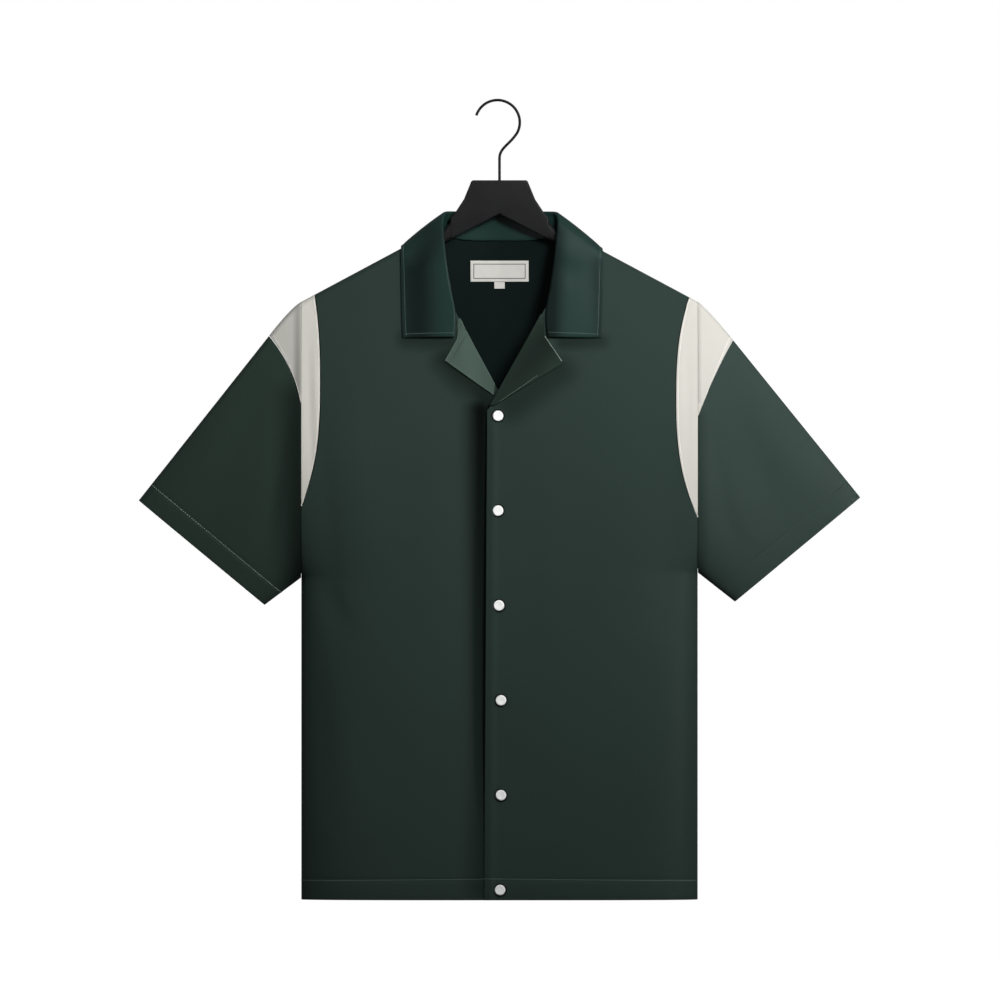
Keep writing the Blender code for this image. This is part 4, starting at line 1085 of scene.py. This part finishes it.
def lapel_grid(lapel):
    """From the lower end of the fold upward; each row runs from the fold to the free edge."""
    corners = np.array([lapel.low_corner, lapel.tip, lapel.notch, lapel.gorge, lapel.top]) * MM
    tip, notch = corners[1], corners[2]
    run = unit(notch - tip)
    across = np.array(LAPEL_COLUMNS)
    rows = []
    for share in thinned(np.concatenate([np.linspace(0, 1, 48), CORNER_SHARES]), least=0.004):
        fold_x, fold_z = mix(np.array(lapel.fold_low), np.array(lapel.fold_high), share) * MM
        free_x, free_z = (np.interp(share, CORNER_SHARES, places) for places in corners.T)
        x, z = mix(fold_x, free_x, across), mix(fold_z, free_z, across)
        lift = LAPEL_CLEAR + LAPEL_WALL + LAPEL_FOLD_LIFT * (1 - across) ** 2
        if lapel.side is RIGHT:
            from_strip = np.abs((x - tip[0]) * run[1] - (z - tip[1]) * run[0]) - STRIP
            lift -= STRIP_GROOVE * np.exp(-((from_strip / STRIP_WIDTH) ** 2))
        rows.append(front_surface(lapel.side, x, z, lift))
    return np.array(rows)


lapel_lines, notch_lines = [], []
for lapel in LAPELS:
    side = lapel.side
    name = f"lapel_facing_{side.name}"
    if side is RIGHT:
        facing = twill("facing_satin", FACING_PAINTED_SHEEN, 0.36, rib=0.7 * MM, relief=0.04 * MM, gloss=0.35)
    else:
        facing = twill("facing_twill", GREEN, 0.46, shade_lines=LAPEL_SHADE_LINES)
    points = lapel_grid(lapel)
    mesh = cloth_mesh(name, points, wall=LAPEL_WALL, turned=side is RIGHT)
    piece = place(name, mesh, facing, "facing_cloth", f"lapel_{side.name}")
    cut = FACING_CUT[side]
    area = FACING_SHARE * cut[0] * cut[1]
    lapel_lines.append(points[TOPSTITCHES[side]])
    notch_lines.append(points[NOTCH_STITCHES])
# Pale thread as a painted highlight along the left notch.
highlight_thread = thread_finish("highlight_thread", THREAD_PAINTED_HIGHLIGHT)
for name, lines, thread, pitch, thick in (
    ("lapel_stitches", lapel_lines, green_thread, 2.8 * MM, FINE_THREAD),
    ("notch_stitches", notch_lines[1:], highlight_thread, 2.6 * MM, 0.8 * MM),
    ("strip_stitches", notch_lines[:1], green_thread, 2.6 * MM, FINE_THREAD),
):
    sew(name, lines, thread, "facing_cloth", pitch, thick=thick)

# ---------------------------------------------------------------- labels
# A woven satin label with a darker line round its edge, sewn flat inside the back below the neck, and a
# small plain tab caught under it.

LABEL_WALL = 1.0 * MM
LABEL_HALF_X, LABEL_TOP_Z, LABEL_LOW_Z = 32 * MM, -175 * MM, -198.1 * MM
TAB_HALF_X, TAB_LOW_Z = 5.7 * MM, -205.8 * MM
BORDER_IN, BORDER_LINE, BORDER_DARKNESS = 3.7 * MM, 0.9 * MM, 0.95
LABEL_RIB = 0.6 * MM
LABEL_WHITE = (0.66, 0.65, 0.61)
LABEL_GREY = (0.06, 0.065, 0.06)


def label_grid(half_x, low_z, high_z, columns, rows):
    x = np.linspace(-half_x, half_x, columns)[None, :]
    z = np.linspace(low_z, high_z, rows)[:, None]
    y = depth(x, z) - WALL - 1.5 * GAP - LABEL_WALL + folded(x, z, BACK_FOLDS)
    return np.stack(np.broadcast_arrays(x, y, z), axis=-1)


def label_satin(name, bordered):
    """Fine damask ribs, with the darker line woven a little in from the edge."""
    made, shader, where = new_material(name, Sheen_Weight=0.15, Roughness=0.5)
    x, _, z = where.axes()
    ribs = z.ribs(LABEL_RIB)
    cloud = where.noise(scale=160.0)
    base = (cloud * 0.6 + ribs * 0.4).blend(scaled(LABEL_WHITE, 0.86), LABEL_WHITE)
    if bordered:
        middle = (LABEL_TOP_Z + LABEL_LOW_Z) / 2
        from_side = LABEL_HALF_X - where.math("ABSOLUTE", x)
        from_end = (LABEL_TOP_Z - LABEL_LOW_Z) / 2 - where.math("ABSOLUTE", z - middle)
        inward = where.math("MINIMUM", from_side, from_end)
        line = where.math("LESS_THAN", where.math("ABSOLUTE", inward - BORDER_IN), BORDER_LINE / 2)
        base = (line * BORDER_DARKNESS).blend(base, LABEL_GREY)
    connect(shader, "Base Color", base)
    emboss(shader, ribs, 0.05 * MM, strength=0.6)
    return made


label_points = label_grid(LABEL_HALF_X, LABEL_LOW_Z, LABEL_TOP_Z, columns=30, rows=14)
mesh = cloth_mesh("label", label_points, LABEL_WALL)
label = place("label", mesh, label_satin("label_satin", bordered=True), "label_cloth", "neck_label")
tab_points = label_grid(TAB_HALF_X, TAB_LOW_Z, LABEL_LOW_Z - GAP, columns=8, rows=7)
mesh = cloth_mesh("label_tab", tab_points, LABEL_WALL)
tab = place("label_tab", mesh, label_satin("tab_satin", bordered=False), "label_cloth", "size_tab")

# ---------------------------------------------------------------- snaps
# Six pearl caps, pressed through the left front's folded edge onto ring prongs. Round each cap a near-black
# ring stands both for the prong ring and for painted shade round the cap.

SNAP_RADIUS, SNAP_HEIGHT = 5.85 * MM, 2.4 * MM
SNAP_TOP_Z, SNAP_PITCH = -346 * MM, 104.1 * MM
SNAP_X = (-1.6 * MM, -1.6 * MM, -0.6 * MM, 1.6 * MM, 1.6 * MM, 0.6 * MM)
CAP_PROFILE = (
    (0.0, 0.80), (0.3, 0.83), (0.55, 0.90), (0.72, 0.98), (0.82, 1.0), (0.90, 0.93),
    (0.96, 0.78), (1.0, 0.52), (0.985, 0.25), (0.93, 0.05), (0.86, 0.0), (0.0, 0.0),
)
RING_PROFILE = ((1.0, 0.0), (1.04, 0.18), (1.13, 0.22), (1.22, 0.14), (1.25, 0.0))
PEARL = (0.95, 0.96, 0.94)
PEARL_SHADE = (0.86, 0.87, 0.86)
# Near black, partly as painted shade round the caps.
PRONG_AND_SHADE = (0.004, 0.0045, 0.0045)
SNAP_CLEAR = 1.8 * GAP  # from the cloth's form to the snap's back


def turned_mesh(name, profile, x, y, z, around=40):
    """A profile turned about the line that points at the viewer, closed into one surface."""
    shape = bmesh.new()
    rings = []
    for radius, height in profile:
        if radius == 0.0:
            rings.append([shape.verts.new((x, y - height * SNAP_HEIGHT, z))])
            continue
        ring = []
        for i in range(around):
            angle = 2 * math.pi * i / around
            out = radius * SNAP_RADIUS
            point = (x + out * math.cos(angle), y - height * SNAP_HEIGHT, z + out * math.sin(angle))
            ring.append(shape.verts.new(point))
        rings.append(ring)
    if len(rings[0]) > 1:
        rings.append(rings[0])
    for low, high in zip(rings, rings[1:]):
        for i in range(around):
            j = (i + 1) % around
            face = [low[i % len(low)], low[j % len(low)], high[j % len(high)], high[i % len(high)]]
            shape.faces.new(list(dict.fromkeys(face)))
    bmesh.ops.recalc_face_normals(shape, faces=shape.faces)
    mesh = bpy.data.meshes.new(name)
    shape.to_mesh(mesh)
    shape.free()
    mesh.shade_smooth()
    return mesh


def mottled(name, colours, scale, detail, rough, uneven=0.2, distortion=0.0, grain=0.0, **constants):
    """A hard finish whose colour and roughness drift over it together, with a fine grain if it has one."""
    made, shader, where = new_material(name, **constants)
    drift = where.noise(scale, detail, distortion)
    connect(shader, "Base Color", drift.blend(*colours))
    connect(shader, "Roughness", drift * uneven + rough)
    if grain:
        emboss(shader, where.noise(grain), 0.04 * MM, strength=0.5)
    return made


# A milky swirl under a clear gloss.
pearl = mottled(
    "pearl_cap",
    (PEARL_SHADE, PEARL),
    scale=190.0,
    detail=3.0,
    distortion=1.6,
    rough=0.2,
    uneven=0.16,
    Coat_Weight=0.5,
    Coat_Roughness=0.12,
)
# Blackened metal, slightly uneven, and made near black as painted shade round the caps.
prong_and_shade = mottled(
    "snap_prong_and_shade",
    (scaled(PRONG_AND_SHADE, 0.6), PRONG_AND_SHADE),
    scale=500.0,
    detail=2.0,
    rough=0.55,
    Metallic=0.2,
    Specular_IOR_Level=0.2,
)
for number, x in enumerate(SNAP_X, 1):
    z = SNAP_TOP_Z - (number - 1) * SNAP_PITCH
    y = -(float(depth(x, z)) + SNAP_CLEAR)
    cap = turned_mesh("snap_cap", CAP_PROFILE, x, y, z)
    ring = turned_mesh("snap_ring", RING_PROFILE, x, y, z)
    place(f"snap_cap_{number}", cap, pearl, "snap_caps", f"snap_{number}")
    place(f"snap_ring_{number}", ring, prong_and_shade, "snap_caps")

# ---------------------------------------------------------------- hanger
# A moulded black plastic bar with a wide, plain head and two sloping arms, and a bent wire hook pressed
# into a bore in the head.

BAR_THICK, ARM_THICK = 12 * MM, 11 * MM
ARM_ROUNDING, HEAD_ROUNDING = 4.6 * MM, 2 * MM
ARM_DROP = WALL / math.cos(math.atan(SHOULDER_SLOPE)) + 2 * GAP  # below the shirt's shoulder fold
ARM_DIPS = ((54, -2), (62, 2.5), (80, 0), (192, 0))  # x in mm, and how much lower the arm lies there
ARM_START, ARM_END = 30 * MM, 196 * MM
ARM_INSIDE = 16 * MM  # how high its root stands inside the head
HEAD_TOP_Z = -86.7 * MM
HEAD_EDGE = ((30.6, -86.7), (35.2, -97.9), (39.1, -107.5), (48.6, -122.0), (54.0, -128.4))
UNDERSIDE_APEX_Z = -123.8 * MM
UNDERSIDE_SLOPE = 0.518
HOOK_WIRE = 1.5 * MM
HOOK_RADIUS = 24.5 * MM
HOOK_CENTRE = (-2.2 * MM, HOOK_WIRE - HOOK_RADIUS)
HOOK_TIP_ANGLE, HOOK_LEAVE_ANGLE, HOOK_STEP = 162, -30, 4
HOOK_BACK = (-9, -13)  # in mm, from where the wire leaves the circle
HOOK_BEND, HOOK_SHANK, HOOK_FOOT = (0.6, -51), (0, -62), (0, -75)
HOOK_BORE_DEPTH = 12 * MM
BLACK = (0.0085, 0.0085, 0.009)
BLACK_WIRE = ((0.02, 0.02, 0.021), (0.045, 0.045, 0.046))


def rounded_bar(name, outline, thickness, bevel):
    """A flat outline, thickened both ways along Y, with its edges rounded."""
    shape = bmesh.new()
    face = shape.faces.new([shape.verts.new((float(x), -thickness / 2, float(z))) for x, z in outline])
    pushed = bmesh.ops.extrude_face_region(shape, geom=[face])
    moved = [item for item in pushed["geom"] if isinstance(item, bmesh.types.BMVert)]
    bmesh.ops.translate(shape, vec=(0, thickness, 0), verts=moved)
    bmesh.ops.recalc_face_normals(shape, faces=shape.faces)
    mesh = bpy.data.meshes.new(name)
    shape.to_mesh(mesh)
    shape.free()
    made = add_object(name, mesh)
    rounding = made.modifiers.new("rounded edges", "BEVEL")
    rounding.width = bevel
    rounding.segments = 5
    rounding.limit_method = "ANGLE"
    rounding.angle_limit = math.radians(60)
    return made


def underside_z(x):
    return UNDERSIDE_APEX_Z - UNDERSIDE_SLOPE * x


def arm_outline(sign):
    top = [(x * MM, shoulder_z(x * MM) - ARM_DROP - dip * MM) for x, dip in ARM_DIPS]
    last_x, last_z = top[-1]
    tip = (ARM_END, (last_z + underside_z(last_x)) / 2)
    low = [(x, underside_z(x)) for x in (last_x, ARM_START)]
    inner = (ARM_START, underside_z(ARM_START) + ARM_INSIDE)
    return [(sign * x, z) for x, z in [inner, *top, tip, *low]]


def head_outline():
    edge = [(x * MM, z * MM) for x, z in HEAD_EDGE]
    end_x = edge[-1][0]
    edge.append((end_x, underside_z(end_x)))
    return edge + [(0.0, UNDERSIDE_APEX_Z)] + [(-x, z) for x, z in reversed(edge)]


def cut_or_join(target, other, operation):
    change = target.modifiers.new(other.name, "BOOLEAN")
    change.object = other
    change.operation = operation


def hanger_mesh():
    head = rounded_bar("hanger_head", head_outline(), BAR_THICK, HEAD_ROUNDING)
    arms = [rounded_bar(f"arm_{sign}", arm_outline(sign), ARM_THICK, ARM_ROUNDING) for sign in (-1, 1)]
    for arm in arms:
        cut_or_join(head, arm, "UNION")
    radius, high = HOOK_WIRE + GAP, 2 * HOOK_BORE_DEPTH
    bpy.ops.mesh.primitive_cylinder_add(vertices=24, radius=radius, depth=high, location=(0, 0, HEAD_TOP_Z))
    bore = bpy.context.object
    cut_or_join(head, bore, "DIFFERENCE")
    made = plain_mesh("hanger", head, bore, *arms)
    made.shade_smooth()
    made.set_sharp_from_angle(angle=math.radians(28))
    return made


def hook_route():
    """Down the hook from its open tip: most of a circle, then the bend back and the straight shank."""
    cx, cz = HOOK_CENTRE
    turn = np.radians(np.arange(HOOK_TIP_ANGLE, HOOK_LEAVE_ANGLE - 1, -HOOK_STEP))
    circle = np.stack([cx + HOOK_RADIUS * np.cos(turn), cz + HOOK_RADIUS * np.sin(turn)], axis=-1)
    leave = circle[-1]
    back = leave + np.array(HOOK_BACK) * MM
    bend, shank, foot = np.array([HOOK_BEND, HOOK_SHANK, HOOK_FOOT]) * MM
    sweep = []
    for t in np.linspace(0, 1, 21)[1:]:
        sweep.append(mix(bend_point(leave, back, bend, t), bend_point(back, bend, shank, t), t))
    return np.concatenate([circle, sweep, [foot, (0.0, HEAD_TOP_Z - HOOK_BORE_DEPTH + GAP)]])


def hook_mesh():
    curve = bpy.data.curves.new("hook_route", "CURVE")
    curve.dimensions = "3D"
    curve.bevel_depth = HOOK_WIRE
    curve.bevel_resolution = 6
    curve.use_fill_caps = True
    route = hook_route()
    spline = curve.splines.new("POLY")
    spline.points.add(len(route) - 1)
    for point, (x, z) in zip(spline.points, route):
        point.co = (x, 0, z, 1)
    mesh = plain_mesh("hook", add_object("hook_route", curve))
    joined = bmesh.new()
    joined.from_mesh(mesh)
    bmesh.ops.remove_doubles(joined, verts=joined.verts, dist=0.01 * MM)
    joined.to_mesh(mesh)
    joined.free()
    mesh.shade_smooth()
    mesh.set_sharp_from_angle(angle=math.radians(50))
    return mesh


# Black polystyrene with a little dust and the faint grain of its mould.
plastic = mottled(
    "hanger_plastic_black",
    (BLACK, scaled(BLACK, 1.5)),
    scale=34.0,
    detail=4.0,
    rough=0.38,
    uneven=0.14,
    grain=1500.0,
    Specular_IOR_Level=0.4,
)
# Black-plated steel, a little worn where it is handled.
plated = mottled("hook_wire_black", BLACK_WIRE, scale=240.0, detail=3.0, rough=0.3, Metallic=0.75)
place("hanger", hanger_mesh(), plastic, "hanger_plastic", "hanger_body")
place("hook", hook_mesh(), plated, "hook_wire", "hanger_hook")

# ---------------------------------------------------------------- studio
# A long lens far in front, a soft-edged key from high on the right, a glossing lamp above it, a weak fill
# from the left, a lamp that grazes the cloth from the right, and one behind. The floor is plain and pale.

VIEW_WIDTH = 1.1
CAMERA_AWAY = 20.0
CAMERA_CENTRE = (0.00055, -0.4384)
SENSOR = 36.0
FLOOR_Z = -1.15
KEY_WIDTH, KEY_SOFT = 68, 0.2  # its cone in degrees and its radius
Lamp = namedtuple("Lamp", "name place aim size watts glossy")
LAMPS = (
    Lamp("key", (0.55, -1.45, 0.35), (0.17, 0, -0.14), None, 118, False),
    Lamp("gloss", (0.55, -0.9, 0.6), (0.05, 0, -0.3), (0.9, 0.5), 2.4, True),
    Lamp("fill", (-1.5, -2.6, 0.3), (-0.1, 0, -0.45), (1.0, 1.2), 3, True),
    Lamp("graze", (1.3, -0.6, -0.1), (0.1, 0, -0.42), (0.3, 0.9), 5, True),
    Lamp("rear", (0, 2.4, -0.55), (0, 0, -0.5), (1.0, 0.8), 40, False),
)
SKY_LOW, SKY_HIGH = (0.04, 0.04, 0.04), (0.17, 0.174, 0.178)
FLOOR_PALE = ((0.78, 0.78, 0.78), (0.82, 0.82, 0.82))


def light(lamp):
    """A rectangular lamp of the given size, or a spot with soft edges where it has none."""
    bulb = bpy.data.lights.new(lamp.name, "AREA" if lamp.size else "SPOT")
    bulb.energy = lamp.watts
    if lamp.size:
        bulb.shape = "RECTANGLE"
        bulb.size, bulb.size_y = lamp.size
    else:
        bulb.spot_size = math.radians(KEY_WIDTH)
        bulb.spot_blend = 1.0
        bulb.shadow_soft_size = KEY_SOFT
    made = add_object(lamp.name, bulb)
    made.location = lamp.place
    made.rotation_euler = (Vector(lamp.aim) - Vector(lamp.place)).to_track_quat("-Z", "Y").to_euler()
    made.visible_glossy = lamp.glossy


scene = bpy.context.scene
scene.view_settings.view_transform = "Standard"
lens = bpy.data.cameras.new("camera")
lens.sensor_width = SENSOR
lens.lens = SENSOR * CAMERA_AWAY / VIEW_WIDTH
camera = add_object("camera", lens)
camera.location = (CAMERA_CENTRE[0], -CAMERA_AWAY, CAMERA_CENTRE[1])
camera.rotation_euler = (math.pi / 2, 0, 0)
scene.camera = camera
for lamp in LAMPS:
    light(lamp)

world = bpy.data.worlds.new("studio")
world.use_nodes = True
scene.world = world
background = world.node_tree.nodes["Background"]
direction = Signal(world.node_tree).node("ShaderNodeTexCoord")
soft = (direction.axes()[2] * 0.5 + 0.5).blend(SKY_LOW, SKY_HIGH)
connect(background, "Color", direction.node("ShaderNodeLightPath").blend(soft, (1, 1, 1)))

bpy.ops.mesh.primitive_plane_add(size=16, location=(0, 0, FLOOR_Z))
floor = bpy.context.object
floor.name = "floor"
glow = {"Emission_Color": (1, 1, 1, 1), "Emission_Strength": 1.0}
pale, pale_shader, on_floor = new_material("floor_pale", Roughness=0.9, **glow)
connect(pale_shader, "Base Color", on_floor.noise(scale=2.0).blend(*FLOOR_PALE))
floor.data.materials.append(pale)
floor.visible_diffuse = False
floor.visible_glossy = False
